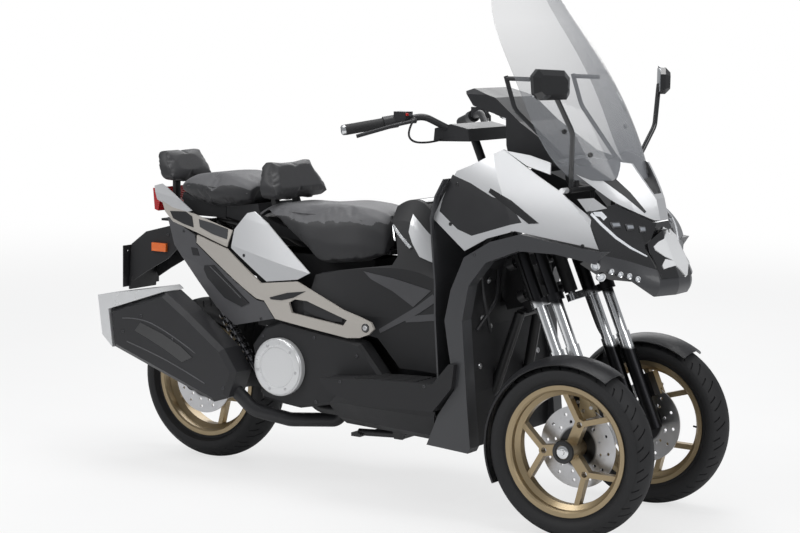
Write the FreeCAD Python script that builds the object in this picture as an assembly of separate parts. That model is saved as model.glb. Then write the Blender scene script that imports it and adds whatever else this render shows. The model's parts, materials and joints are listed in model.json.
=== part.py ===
import FreeCAD, Part
import math
import os

V = FreeCAD.Vector
os.makedirs("parts", exist_ok=True)

# Driving sizes of the whole machine
wheelbase = 1580.0
front_track = 560.0
front_tyre_radius = 274.5
rear_tyre_radius = 286.5
front_tyre_width = 120.0
rear_tyre_width = 160.0
rim_lip_radius = 203.5
plate_reach = 345.0
tail_reach = 200.0
nose_reach = 220.0
body_height = 1000.0
body_half_width = 300.0
overrun = 20.0
seat_gap = 0.3
panel_gap = 3.0
running_gap = 0.05
moving_gap = 6.0

# The middle of the machine's length is at the origin
rear_axle_x = (plate_reach - wheelbase - front_tyre_radius) / 2
front_axle_x = rear_axle_x + wheelbase
tail_x = rear_axle_x - tail_reach
body_length = wheelbase + tail_reach + nose_reach
wheel_y = front_track / 2

# Panels
panel_wall = 5.0
trim_proud = 5.0
boss_radius = 9.0

# Frame tubes
frame_tube_radius = 17.0
rail_y = 105.0
cradle_y = 130.0
cradle_z = 250.0
tube_bend = 70.0

# Steering column
column_rake = 24.0
stem_radius = 14.0
head_tube_wall = 9.0
head_tube_length = 130.0
clamp_x_share = 0.630
clamp_z_share = 1.170
head_top_drop = 150.0

# Fork and its upright, along the steering axis
fork_rake = 23.3
kingpin_setback = 38.0
leg_inset = 105.0
kingpin_inset = 55.0
kingpin_radius = 12.0
upright_wall = 10.0
upright_low = 462.0
upright_length = 158.0
yoke_thickness = 24.0
rear_leg_lead = 40.0
leg_pitch = 58.0
tube_radius = 18.5
slider_radius = 22.5
slider_top = 285.0
slider_foot = 30.0
front_axle_radius = 12.0
carrier_thickness = 26.0

# Tilt arms
arm_width = 30.0
arm_thickness = 24.0
arm_pin_radius = 8.0
arm_inset = 26.0
spine_half_width = 36.0
spine_depth = 40.0

# Wheels
rim_half_width_front = 46.0
rim_half_width_rear = 58.0
rim_wall = 5.0
rim_well_depth = 20.0
lip_height = 9.0
hub_radius = 31.0
hub_half_width_front = 52.0
hub_half_width_rear = 70.0
spoke_width = 17.0
spoke_depth = 26.0
boss_ring_radius = 88.0
spoke_pairs = 3
disc_thickness = 5.0
front_disc_radius = 128.0
rear_disc_radius = 120.0
disc_slot_radius = 5.0
tread_wall = 14.0
tyre_shoulder_rise = 0.62
tyre_shoulder_share = 0.86
crown_steps = 3
rear_axle_radius = 10.0
rear_disc_y = 88.0

# Fenders
fender_gap = 12.0
fender_wall = 4.0
fender_half_width = 66.0

# Swingarm and shocks
arm_tube_radius = 20.0
swingarm_y = 125.0
pivot_x_share = 0.338
pivot_z_share = 0.345
swing_pivot_radius = 12.0
shock_radius = 20.0

# Muffler
muffler_y = 262.0
muffler_half_width = 58.0
muffler_chamfer = 16.0
pipe_radius = 24.0

# Engine, cases and tub
engine_half_width = 165.0
case_depth = 62.0
case_y = 172.0
cap_radius = 98.0
cap_depth = 22.0
tub_wall = 3.0

# Screen
screen_wall = 4.0

# Mirrors
mirror_half_height = 46.0
mirror_length = 120.0
mirror_depth = 34.0
mirror_stalk_radius = 8.0

# Handlebar
bar_radius = 11.0
grip_radius = 17.0
grip_length = 125.0

# Stand
stand_pivot_x_share = 0.530
stand_pivot_z = 198.0
stand_leg_length = 176.0
stand_half_width = 96.0
stand_tube_radius = 12.0


def bx(share):
    """The x of a share of the body's length, from the tail."""
    return tail_x + share * body_length


def bz(share):
    """The z of a share of the body's height."""
    return share * body_height


def by(share):
    """The y of a share of the body's half width."""
    return share * body_half_width


def mirrored(shape):
    """The same shape on the other side."""
    return shape.mirror(V(0, 0, 0), V(0, 1, 0))


def both(shape):
    """A shape and its mirror image, as two solids of one piece."""
    return Part.makeCompound([shape, mirrored(shape)])


def loop(points):
    """A closed wire through the points."""
    return Part.makePolygon(points + [points[0]])


def side_prism(shares, y_low, y_high):
    """A side outline carried across from one y to the other."""
    points = [V(bx(sx), y_low, bz(sz)) for sx, sz in shares]
    return Part.Face(loop(points)).extrude(V(0, y_high - y_low, 0))


def fused(shapes):
    """One solid from touching ones."""
    first = shapes[0]
    if len(shapes) == 1:
        return first
    return first.multiFuse(shapes[1:]).removeSplitter()


def rod(start, end, radius):
    """A round bar between two points."""
    return Part.makeCylinder(radius, (end - start).Length, start, end - start)


def bent_tube(points, radius, bend):
    """A round tube along straight runs joined by tangent arcs."""
    edges = []
    last = points[0]
    for before, corner, after in zip(points, points[1:], points[2:]):
        toward = (before - corner).normalize()
        away = (after - corner).normalize()
        half_turn = (math.pi - toward.getAngle(away)) / 2
        reach = min(bend * math.tan(half_turn), 0.45 * min(
            (before - corner).Length, (after - corner).Length))
        arc_radius = reach / math.tan(half_turn)
        centre_way = (toward + away).normalize()
        centre = corner + centre_way * (arc_radius / math.cos(half_turn))
        start = corner + toward * reach
        end = corner + away * reach
        middle = centre - centre_way * arc_radius
        edges.append(Part.makeLine(last, start))
        edges.append(Part.Arc(start, middle, end).toShape())
        last = end
    edges.append(Part.makeLine(last, points[-1]))
    path = Part.Wire(edges)
    way = points[1] - points[0]
    ring = Part.Wire([Part.makeCircle(radius, points[0], way)])
    return path.makePipeShell([ring], True, True)


def stepped(shares):
    """Body points of a path written as shares of length, half width and height."""
    return [V(bx(sx), by(sy), bz(sz)) for sx, sy, sz in shares]


# The rear body's outer form: for each place along the length, heights and half widths
rear_form_shares = [
    (-0.04, [(1.03, 0.25), (0.96, 0.36), (0.90, 0.39), (0.81, 0.37), (0.68, 0.30)]),
    (0.10, [(1.01, 0.38), (0.92, 0.48), (0.84, 0.54), (0.73, 0.56), (0.58, 0.50)]),
    (0.25, [(0.97, 0.52), (0.88, 0.63), (0.78, 0.74), (0.66, 0.80), (0.49, 0.78)]),
    (0.40, [(0.93, 0.50), (0.84, 0.61), (0.72, 0.75), (0.60, 0.82), (0.44, 0.81)]),
    (0.58, [(0.93, 0.44), (0.84, 0.54), (0.72, 0.69), (0.58, 0.79), (0.40, 0.81)]),
]

# The nose's outer form: for each height, places along the length and half widths
nose_form_shares = [
    (0.74, [(1.000, 0.14), (0.985, 0.42), (0.925, 0.86), (0.80, 1.00), (0.66, 0.96)]),
    (0.80, [(1.005, 0.14), (0.990, 0.38), (0.930, 0.93), (0.80, 1.02), (0.65, 0.96)]),
    (0.88, [(0.985, 0.13), (0.968, 0.36), (0.935, 0.99), (0.79, 1.03), (0.64, 0.93)]),
    (0.96, [(0.970, 0.10), (0.950, 0.34), (0.915, 0.95), (0.78, 1.00), (0.63, 0.90)]),
    (1.04, [(0.960, 0.10), (0.932, 0.34), (0.870, 0.88), (0.76, 0.94), (0.63, 0.88)]),
    (1.12, [(0.945, 0.10), (0.912, 0.34), (0.840, 0.78), (0.74, 0.86), (0.64, 0.84)]),
    (1.22, [(0.915, 0.10), (0.882, 0.32), (0.790, 0.64), (0.72, 0.72), (0.66, 0.74)]),
]


def form(stations, proud=0, top=0, floor=0):
    """A solid through stations, each a place along the length with heights and half widths.

    Its sides, top and floor can be moved out by their own amounts.
    """
    rings = []
    for sx, side in stations:
        lifts = [top] + [0] * (len(side) - 2) + [-floor]
        half = [(by(sy) + proud, bz(sz) + lift) for (sz, sy), lift in zip(side, lifts)]
        right = [V(bx(sx), -y, z) for y, z in half]
        left = [V(bx(sx), y, z) for y, z in reversed(half)]
        rings.append(loop(right + left))
    return Part.makeLoft(rings, True, False)


def nose_form(proud):
    """The nose as a solid whose front and sides stand proud of its outer form."""
    rings = []
    for sz, plan in nose_form_shares:
        half = [(bx(sx) + proud, by(sy) + proud) for sx, sy in plan[:3]]
        half += [(bx(sx), by(sy) + proud) for sx, sy in plan[3:]]
        right = [V(x, -y, bz(sz)) for x, y in half]
        left = [V(x, y, bz(sz)) for x, y in reversed(half)]
        rings.append(loop(right + left))
    return Part.makeLoft(rings, True, False)


rear_outer = form(rear_form_shares)
rear_inner = form(rear_form_shares, -panel_wall)
rear_proud = form(rear_form_shares, trim_proud)
nose_outer = nose_form(0)
nose_inner = nose_form(-panel_wall)
nose_deep = nose_form(-4 * panel_wall)
nose_proud = nose_form(trim_proud)
far_y = 2 * body_half_width


def skin(outer, inner, shares):
    """The right-hand piece of a form's wall inside a side outline."""
    return side_prism(shares, -far_y, 0).common(outer).cut(inner)


def boss(sx, sz, seat_y, form):
    """A clip boss from a seat inside the body out to the wall of a form."""
    start = V(bx(sx), -seat_y - seat_gap, bz(sz))
    return rod(start, start + V(0, -far_y, 0), boss_radius).common(form)


def export(name, shape):
    """Writes one piece of the machine."""
    shape.exportStep("parts/" + name + ".step")


# Wheels

def revolved(profile, x, z):
    """A profile of radius and y turned about a wheel's axle."""
    points = [V(0, y, r) for r, y in profile]
    face = Part.Face(loop(points))
    solid = face.revolve(V(0, 0, 0), V(0, 1, 0), 360)
    solid.translate(V(x, 0, z))
    return solid


def tyre(radius, width, half_rim):
    """A round-crowned tyre that sits between the rim's lips."""
    bead = rim_lip_radius - lip_height + seat_gap
    half = width / 2
    shoulder = bead + tyre_shoulder_rise * (radius - bead)
    shoulder_y = tyre_shoulder_share * half
    bead_y = half_rim - rim_wall - seat_gap
    bead_top = rim_lip_radius + seat_gap
    rise = radius - shoulder
    crown_radius = (shoulder_y * shoulder_y + rise * rise) / (2 * rise)
    crown_turn = math.asin(shoulder_y / crown_radius)
    right_half = [(bead, half_rim - rim_wall - tread_wall), (bead, bead_y), (bead_top, bead_y),
                  (bead_top + 0.35 * (shoulder - bead_top), half),
                  (bead_top + 0.75 * (shoulder - bead_top), 0.99 * half)]
    for number in range(crown_steps):
        turn = crown_turn * (crown_steps - number) / crown_steps
        right_half.append((radius - crown_radius * (1 - math.cos(turn)),
                           crown_radius * math.sin(turn)))
    left_half = [(reach, -y) for reach, y in reversed(right_half)]
    liner = [(radius - 1.6 * tread_wall, -0.5 * half), (radius - 1.6 * tread_wall, 0.5 * half)]
    return revolved(right_half + [(radius, 0)] + left_half + liner, 0, 0)


def rim(half_width, half_hub, axle_radius):
    """A cast rim: lipped barrel, three hub arms with round bosses that split into six spokes."""
    lip = rim_lip_radius
    bead = lip - lip_height
    well = bead - rim_well_depth
    profile = [(lip, -half_width), (lip, -half_width + rim_wall), (bead, -half_width + rim_wall),
               (bead - rim_wall, -half_width / 2), (well, -half_width / 4),
               (well, half_width / 4), (bead - rim_wall, half_width / 2),
               (bead, half_width - rim_wall), (lip, half_width - rim_wall), (lip, half_width),
               (bead - rim_wall, half_width), (bead - 2 * rim_wall, half_width - rim_wall),
               (bead - 2 * rim_wall, half_width / 2), (well - rim_wall, half_width / 4),
               (well - rim_wall, -half_width / 4), (bead - 2 * rim_wall, -half_width / 2),
               (bead - 2 * rim_wall, -half_width + rim_wall), (bead - rim_wall, -half_width)]
    barrel = revolved(profile, 0, 0)
    hub = Part.makeCylinder(hub_radius, 2 * half_hub, V(0, -half_hub, 0), V(0, 1, 0))
    pieces = [barrel, hub]
    spoke_y = spoke_depth / 2
    reach = bead - 1.5 * rim_wall
    for number in range(spoke_pairs):
        arm_turn = 2 * math.pi * number / spoke_pairs + math.radians(68)
        centre = V(boss_ring_radius * math.cos(arm_turn), -spoke_y,
                   boss_ring_radius * math.sin(arm_turn))
        eye = Part.makeCylinder(spoke_width, spoke_depth, centre, V(0, 1, 0))
        pieces += [eye, flat_bar(V(0, -spoke_y, 0), centre, 2 * spoke_width, spoke_depth)]
        for side in (-1, 1):
            tip_turn = arm_turn + side * math.pi / (2 * spoke_pairs)
            tip = V(reach * math.cos(tip_turn), -spoke_y, reach * math.sin(tip_turn))
            pieces.append(flat_bar(centre, tip, spoke_width, spoke_depth))
    solid = fused(pieces)
    for number in range(spoke_pairs):
        arm_turn = 2 * math.pi * number / spoke_pairs + math.radians(68)
        centre = V(boss_ring_radius * math.cos(arm_turn), -spoke_depth,
                   boss_ring_radius * math.sin(arm_turn))
        solid = solid.cut(Part.makeCylinder(spoke_width * 0.55, 2 * spoke_depth, centre, V(0, 1, 0)))
    return solid, axle_radius + running_gap


def flat_bar(start, end, width, depth):
    """A straight bar in the wheel's plane, its depth along y."""
    way = (end - start).normalize()
    across = V(way.z, 0, -way.x) * (width / 2)
    face = Part.Face(loop([start - across, end - across, end + across, start + across]))
    return face.extrude(V(0, depth, 0))


def brake_disc(radius):
    """A brake disc with a ring of holes."""
    ring = Part.makeCylinder(radius, disc_thickness, V(0, -disc_thickness / 2, 0), V(0, 1, 0))
    inner = Part.makeCylinder(hub_radius + seat_gap, 4 * disc_thickness,
                              V(0, -2 * disc_thickness, 0), V(0, 1, 0))
    ring = ring.cut(inner)
    hole_count = 12
    for row_share in (0.62, 0.82):
        for number in range(hole_count):
            turn = 2 * math.pi * (number + row_share) / hole_count
            spot = V(radius * row_share * math.cos(turn), -disc_thickness,
                     radius * row_share * math.sin(turn))
            ring = ring.cut(Part.makeCylinder(disc_slot_radius, 2 * disc_thickness, spot, V(0, 1, 0)))
    return ring


def moved(shape, x, y, z):
    """A copy of a shape at another place."""
    copy = shape.copy()
    copy.translate(V(x, y, z))
    return copy


def make_wheels():
    """The two front wheels and the rear one, each a tyre, a rim and a disc."""
    front_tyre = tyre(front_tyre_radius, front_tyre_width, rim_half_width_front)
    rear_tyre = tyre(rear_tyre_radius, rear_tyre_width, rim_half_width_rear)
    front_rim, front_bore = rim(rim_half_width_front, hub_half_width_front, front_axle_radius)
    blind = hub_half_width_front - 2 * rim_wall
    bore = Part.makeCylinder(front_bore, hub_half_width_front + blind + overrun,
                             V(0, -blind, 0), V(0, 1, 0))
    right_rim = front_rim.cut(bore)
    rear_rim, rear_bore = rim(rim_half_width_rear, hub_half_width_rear, rear_axle_radius)
    rear_rim = rear_rim.cut(Part.makeCylinder(rear_bore, 4 * hub_half_width_rear,
                                              V(0, -2 * hub_half_width_rear, 0), V(0, 1, 0)))
    front_disc = brake_disc(front_disc_radius)
    rear_disc = brake_disc(rear_disc_radius)
    z = front_tyre_radius
    disc_y = hub_half_width_front - disc_thickness
    export("tyre_front_right", moved(front_tyre, front_axle_x, -wheel_y, z))
    export("tyre_front_left", moved(front_tyre, front_axle_x, wheel_y, z))
    export("rim_front_right", moved(right_rim, front_axle_x, -wheel_y, z))
    export("rim_front_left", mirrored(moved(right_rim, front_axle_x, -wheel_y, z)))
    export("disc_front_right", moved(front_disc, front_axle_x, -wheel_y + disc_y, z))
    export("disc_front_left", mirrored(moved(front_disc, front_axle_x, -wheel_y + disc_y, z)))
    export("tyre_rear", moved(rear_tyre, rear_axle_x, 0, rear_tyre_radius))
    export("rim_rear", moved(rear_rim, rear_axle_x, 0, rear_tyre_radius))
    rear_disc_place = -hub_half_width_rear + disc_thickness
    export("disc_rear", moved(rear_disc, rear_axle_x, rear_disc_place, rear_tyre_radius))


# Forks, uprights and tilt arms, made upright and then leaned back

kingpin_x = front_axle_x - kingpin_setback
leg_y = wheel_y - leg_inset
kingpin_y = leg_y - kingpin_inset
leg_side = leg_y - kingpin_y


def leaned(shape, side_y):
    """A fork piece made about the upright steering axis, leaned and put at its side."""
    copy = shape.copy()
    copy.rotate(V(0, 0, 0), V(0, 1, 0), -fork_rake)
    copy.translate(V(kingpin_x, side_y, front_tyre_radius))
    return copy


axle_u = kingpin_setback * math.cos(math.radians(fork_rake))
axle_w = -kingpin_setback * math.sin(math.radians(fork_rake))
leg_leads = [rear_leg_lead, rear_leg_lead + leg_pitch]
upright_top = upright_low + upright_length
upright_radius = kingpin_radius + running_gap + upright_wall


def yoke(w_low):
    """A plate that joins the kingpin and the two legs."""
    thick = V(0, 0, yoke_thickness)
    spots = [V(0, 0, w_low)] + [V(lead, leg_side, w_low) for lead in leg_leads]
    radii = [kingpin_radius + upright_wall] + [tube_radius + upright_wall] * 2
    pieces = [Part.makeCylinder(radius, yoke_thickness, spot) for spot, radius in zip(spots, radii)]
    half = tube_radius
    for start, end in zip(spots, spots[1:]):
        way = (end - start).normalize()
        across = V(-way.y, way.x, 0) * half
        face = Part.Face(loop([start - across, end - across, end + across, start + across]))
        pieces.append(face.extrude(thick))
    return fused(pieces)


def fork():
    """The left fork: kingpin, yokes, legs, axle carrier, axle and caliper."""
    low_yoke = upright_low - moving_gap - yoke_thickness
    high_yoke = upright_top + moving_gap
    pin = Part.makeCylinder(kingpin_radius, high_yoke + yoke_thickness - low_yoke, V(0, 0, low_yoke))
    pieces = [pin, yoke(low_yoke), yoke(high_yoke)]
    leg_bottom = axle_w - slider_foot
    for lead in leg_leads:
        spot = V(lead, leg_side, leg_bottom)
        pieces.append(Part.makeCylinder(slider_radius, slider_top - leg_bottom, spot))
        pieces.append(Part.makeCylinder(tube_radius, high_yoke + yoke_thickness - leg_bottom
                                        + 2 * moving_gap, spot))
    carrier_low = V(leg_leads[0], leg_side - carrier_thickness / 2, axle_w)
    carrier_high = V(leg_leads[1], leg_side - carrier_thickness / 2, axle_w)
    across = V(0, 0, slider_foot)
    face = Part.Face(loop([carrier_low - across, carrier_high - across, carrier_high + across,
                           carrier_low + across]))
    pieces.append(face.extrude(V(0, carrier_thickness, 0)))
    eye_start = V(axle_u, leg_side - carrier_thickness / 2, axle_w)
    pieces.append(Part.makeCylinder(slider_foot, carrier_thickness, eye_start, V(0, 1, 0)))
    axle_length = leg_inset + carrier_thickness / 2 + hub_half_width_front - 4 * rim_wall
    pieces.append(Part.makeCylinder(front_axle_radius, axle_length, eye_start, V(0, 1, 0)))
    pieces.append(caliper())
    return fused(pieces)


def caliper():
    """The brake caliper, on the front leg, with its jaws either side of the disc."""
    disc_face = leg_inset - hub_half_width_front + disc_thickness + leg_side
    middle_w = axle_w + front_disc_radius * 0.86
    lead = leg_leads[1]
    jaw_gap = disc_thickness / 2 + moving_gap / 2
    length = 2.6 * slider_foot
    depth = 1.6 * slider_foot
    low = V(lead - slider_radius / 2, leg_side, middle_w - length / 2)
    block = Part.makeBox(depth, disc_face + jaw_gap + carrier_thickness / 2 - leg_side, length, low)
    slot = Part.makeCylinder(front_disc_radius + moving_gap, 2 * jaw_gap,
                             V(axle_u, disc_face - jaw_gap, axle_w), V(0, 1, 0))
    return block.cut(slot)


def make_forks():
    """Both forks with their fenders."""
    left = leaned(fork(), kingpin_y)
    export("fork_left", left)
    export("fork_right", mirrored(left))
    left_fender = fender()
    export("fender_left", left_fender)
    export("fender_right", mirrored(left_fender))


def fender():
    """The left fender: a crowned band round the tyre's top and back, on a stay from the fork."""
    inner = front_tyre_radius + fender_gap
    outer = inner + fender_wall
    half = fender_half_width
    drop = 0.32 * half
    rise = V(0, 0, 0)
    outer_edge = [V(0, -half, outer - drop), V(0, 0, outer), V(0, half, outer - drop)]
    inner_edge = [V(0, half - fender_wall, inner - drop), V(0, 0, inner),
                  V(0, -half + fender_wall, inner - drop)]
    edges = [Part.Arc(*outer_edge).toShape(), Part.makeLine(outer_edge[2], inner_edge[0]),
             Part.Arc(*inner_edge).toShape(), Part.makeLine(inner_edge[2], outer_edge[0])]
    face = Part.Face(Part.Wire(edges))
    face.rotate(rise, V(0, 1, 0), fender_front_turn)
    band = face.revolve(V(0, 0, 0), V(0, 1, 0), -fender_wrap)
    band.translate(V(front_axle_x, wheel_y, front_tyre_radius))
    return fused([band, fender_stay()])


fender_front_turn = 32.0
fender_wrap = 150.0
stay_width = 30.0
stay_wall = 5.0


def fender_stay():
    """A strap from the fork's rear leg to the fender's inner edge."""
    outer = front_tyre_radius + fender_gap + fender_wall
    edge_radius = outer - 0.32 * fender_half_width - fender_wall
    turn = math.radians(fork_rake + 4)
    top = V(front_axle_x - edge_radius * math.sin(turn), wheel_y - fender_half_width + fender_wall,
            front_tyre_radius + edge_radius * math.cos(turn))
    leg_out = leg_y + tube_radius + 2 * seat_gap
    low_z = top.z - stay_width
    half = stay_width / 2
    strap = Part.makeBox(stay_width, top.y - leg_out + fender_wall, stay_wall,
                         V(top.x - half, leg_out, top.z - stay_wall))
    foot = Part.makeBox(stay_width, stay_wall, top.z - low_z, V(top.x - half, leg_out, low_z))
    return fused([strap, foot])


def arm_plate(w):
    """One tilt arm between the two uprights, with its three pivot eyes."""
    near = -upright_radius - moving_gap - arm_thickness
    spots = [V(near, y, w) for y in (-kingpin_y, 0, kingpin_y)]
    pieces = [Part.makeCylinder(arm_width / 2 + arm_pin_radius / 2, arm_thickness, spot, V(1, 0, 0))
              for spot in spots]
    half = V(0, 0, arm_width / 2)
    face = Part.Face(loop([spots[0] - half, spots[2] - half, spots[2] + half, spots[0] + half]))
    plate = fused(pieces + [face.extrude(V(arm_thickness, 0, 0))])
    for spot in spots:
        hole = Part.makeCylinder(arm_pin_radius + running_gap, arm_thickness + 2 * overrun,
                                 spot - V(overrun, 0, 0), V(1, 0, 0))
        plate = plate.cut(hole)
    return leaned(plate, 0)


arm_levels = [upright_low + arm_inset, upright_top - arm_inset]
spine_front = -upright_radius - 2 * moving_gap - arm_thickness


def upright():
    """The left upright: a bored tube for the kingpin with two pins for the tilt arms."""
    tube = Part.makeCylinder(upright_radius, upright_length, V(0, 0, upright_low))
    pins = [Part.makeCylinder(arm_pin_radius, upright_radius + moving_gap + arm_thickness
                              + moving_gap / 2, V(0, 0, w), V(-1, 0, 0)) for w in arm_levels]
    body = fused([tube] + pins)
    bore = Part.makeCylinder(kingpin_radius + running_gap, upright_length + 2 * overrun,
                             V(0, 0, upright_low - overrun))
    return leaned(body.cut(bore), kingpin_y)


def make_tilt():
    """The tilt arms and the uprights that they carry."""
    export("tilt_arms", Part.makeCompound([arm_plate(w) for w in arm_levels]))
    export("uprights", both(upright()))


# Frame

def column_point(drop):
    """A point on the steering column's axis, a drop below the bar clamp."""
    top = V(bx(clamp_x_share), 0, bz(clamp_z_share))
    way = V(math.sin(math.radians(column_rake)), 0, -math.cos(math.radians(column_rake)))
    return top + way * drop


lower_tube_shares = [
    (0.735, 0.20, 0.640), (0.705, 0.34, 0.400), (0.660, 0.42, 0.262), (0.380, 0.50, 0.262),
    (0.322, 0.50, 0.345), (0.290, 0.50, 0.560), (0.060, 0.34, 0.830),
]
pivot_plate_shares = [(0.305, 0.330), (0.330, 0.295), (0.375, 0.250), (0.385, 0.290),
                      (0.362, 0.385), (0.315, 0.400)]
pivot_plate_wall = 14.0
upper_tube_shares = [
    (0.688, 0.06, 0.930), (0.620, 0.30, 0.700), (0.470, 0.38, 0.560), (0.300, 0.40, 0.540),
]
gusset_shares = [(0.662, 1.010), (0.690, 0.930), (0.715, 0.860), (0.735, 0.66), (0.70, 0.64),
                 (0.655, 0.83)]
lamp_stay_shares = [(0.684, 0.05, 0.940), (0.780, 0.20, 0.935), (0.930, 0.24, 0.950)]


seat_rail_shares = [(0.300, 0.48, 0.550), (0.300, 0.46, 0.720), (0.215, 0.40, 0.800),
                    (0.066, 0.34, 0.846)]
seat_rail_radius = 14.0
small_tube_radius = 9.0
nose_bar_share = (0.862, 1.060)
nose_bar_half_share = 0.75
nose_loop_shares = [(0.925, 0.24, 0.950), (0.940, 0.24, 0.815)]
dash_stay_shares = [(0.862, 0.30, 1.060), (0.822, 0.30, 1.072), (0.822, 0.30, 1.1126)]
tail_plate_shares = [(0.000, 0.838), (0.000, 0.846), (0.075, 0.846), (0.075, 0.838)]
tail_plate_half_width = 60.0
stand_lug_shares = [(0.512, 0.262), (0.548, 0.262), (0.538, 0.188), (0.522, 0.188)]
stand_lug_wall = 8.0
stand_pin_radius = 7.0
stand_tube_wall = 7.0
board_bracket_share = 0.560
board_bracket_half_share = 0.82
shock_top_shares = (0.158, 0.585)
shock_foot_shares = (0.252, 0.338)
shock_lug_shares = [(0.135, 0.745), (0.150, 0.565), (0.168, 0.565), (0.178, 0.700)]
shock_pin_radius = 6.0
shock_lug_wall = 8.0
shock_eye_width = 20.0
arm_outer = by(lower_tube_shares[4][1]) - frame_tube_radius - seat_gap
shock_y = arm_outer + seat_gap + shock_eye_width / 2


def nose_bars():
    """The small tubes that carry the nose panels, the mirrors and the screen."""
    bar = V(bx(nose_bar_share[0]), 0, bz(nose_bar_share[1]))
    half = V(0, by(nose_bar_half_share), 0)
    stay_x, stay_y, stay_z = lamp_stay_shares[2]
    post_low = V(bar.x, by(stay_y), bz(stay_z))
    post_high = V(bar.x, by(stay_y), bar.z)
    top, foot = stepped(nose_loop_shares)
    across = V(foot.x, -foot.y, foot.z)
    dash_stay = bent_tube(stepped(dash_stay_shares), 0.8 * small_tube_radius, tube_bend)
    return [rod(bar - half, bar + half, small_tube_radius), dash_stay, mirrored(dash_stay),
            rod(post_low, post_high, 0.8 * small_tube_radius),
            mirrored(rod(post_low, post_high, 0.8 * small_tube_radius)),
            rod(top, foot, 0.8 * small_tube_radius),
            mirrored(rod(top, foot, 0.8 * small_tube_radius)),
            rod(foot, across, small_tube_radius)]


def frame_lugs():
    """The right-hand lugs for the stand and the shocks, and the footboard bracket."""
    tube_y = stand_half_width * 1.15 + stand_tube_radius
    stand_lug = side_prism(stand_lug_shares, -tube_y - stand_lug_wall, -tube_y)
    cradle_y = by(lower_tube_shares[2][1])
    shift = (board_bracket_share - lower_tube_shares[3][0]) / (
        lower_tube_shares[2][0] - lower_tube_shares[3][0])
    cradle_y = by(lower_tube_shares[3][1]) * (1 - shift) + cradle_y * shift
    start = V(bx(board_bracket_share), -cradle_y, bz(lower_tube_shares[2][2]))
    bend = V(start.x, -by(board_bracket_half_share), bz(0.292))
    board_under = bz(0.3343) - seat_gap
    top = V(start.x, bend.y, board_under)
    shock_top = V(bx(shock_top_shares[0]), -shock_y, bz(shock_top_shares[1]))
    pin_half = V(0, shock_eye_width / 2 + shock_lug_wall / 2, 0)
    lugs = [side_prism(shock_lug_shares, -arm_outer, shock_lug_wall - arm_outer),
            rod(shock_top - pin_half, shock_top + pin_half, shock_pin_radius)]
    return [stand_lug, rod(start, bend, small_tube_radius),
            rod(bend - V(0, 0, small_tube_radius * 0.6), top, 0.8 * small_tube_radius)] + lugs


def make_frame():
    """Head tube, spine for the tilt arms, cradle tubes, rails, cross tubes and lamp stay."""
    head_top = column_point(head_top_drop)
    head_low = column_point(head_top_drop + head_tube_length)
    pieces = [rod(head_top, head_low, stem_radius + running_gap + head_tube_wall)]
    spine_box = Part.makeBox(spine_depth, 2 * spine_half_width, upright_length + 2 * arm_inset,
                             V(spine_front - spine_depth, -spine_half_width,
                               upright_low - arm_inset))
    pieces.append(leaned(spine_box, 0))
    for w in arm_levels:
        pin = Part.makeCylinder(arm_pin_radius, arm_thickness + 2 * moving_gap,
                                V(spine_front - moving_gap, 0, w), V(1, 0, 0))
        pieces.append(leaned(pin, 0))
    for shares in (lower_tube_shares, upper_tube_shares, lamp_stay_shares):
        tube = bent_tube(stepped(shares), frame_tube_radius, tube_bend)
        pieces += [tube, mirrored(tube)]
    seat_rail = bent_tube(stepped(seat_rail_shares), seat_rail_radius, tube_bend)
    pieces += [seat_rail, mirrored(seat_rail)] + nose_bars()
    for lug in frame_lugs():
        pieces += [lug, mirrored(lug)]
    pieces.append(side_prism(tail_plate_shares, -tail_plate_half_width, tail_plate_half_width))
    stand_pivot = V(bx(stand_pivot_x_share), 0, stand_pivot_z)
    stand_reach = V(0, stand_half_width * 1.15 + stand_tube_radius + stand_lug_wall, 0)
    pieces.append(rod(stand_pivot - stand_reach, stand_pivot + stand_reach, stand_pin_radius))
    for sx, sy, sz in (lower_tube_shares[2], lower_tube_shares[6],
                       lower_tube_shares[5], lamp_stay_shares[2], lower_tube_shares[0]):
        y = by(sy)
        pieces.append(rod(V(bx(sx), -y, bz(sz)), V(bx(sx), y, bz(sz)), frame_tube_radius * 0.8))
    plate_y = by(lower_tube_shares[4][1]) - frame_tube_radius
    plate = side_prism(pivot_plate_shares, plate_y, plate_y + pivot_plate_wall)
    pivot = V(bx(pivot_x_share), 0, bz(pivot_z_share))
    shaft_end = V(0, plate_y + pivot_plate_wall, 0)
    pieces += [plate, mirrored(plate), rod(pivot - shaft_end, pivot + shaft_end, swing_pivot_radius)]
    gusset = side_prism(gusset_shares, -spine_half_width / 2, spine_half_width / 2)
    frame = fused(pieces + [gusset])
    frame = frame.cut(rod(column_point(head_top_drop - overrun),
                          column_point(head_top_drop + head_tube_length + overrun),
                          stem_radius + running_gap))
    export("frame", frame)


engine_shares = [(0.36, 0.28), (0.60, 0.28), (0.63, 0.36), (0.60, 0.50), (0.37, 0.52)]
case_shares = [
    (0.266, 0.464), (0.293, 0.534), (0.328, 0.561), (0.455, 0.526), (0.485, 0.512),
    (0.531, 0.409), (0.516, 0.333), (0.366, 0.270), (0.288, 0.285),
]


engine_bar_shares = (0.415, 0.590)
engine_bar_radius = 10.0
engine_neck_shares = (0.420, 0.425)
engine_neck_radius = 50.0


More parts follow.
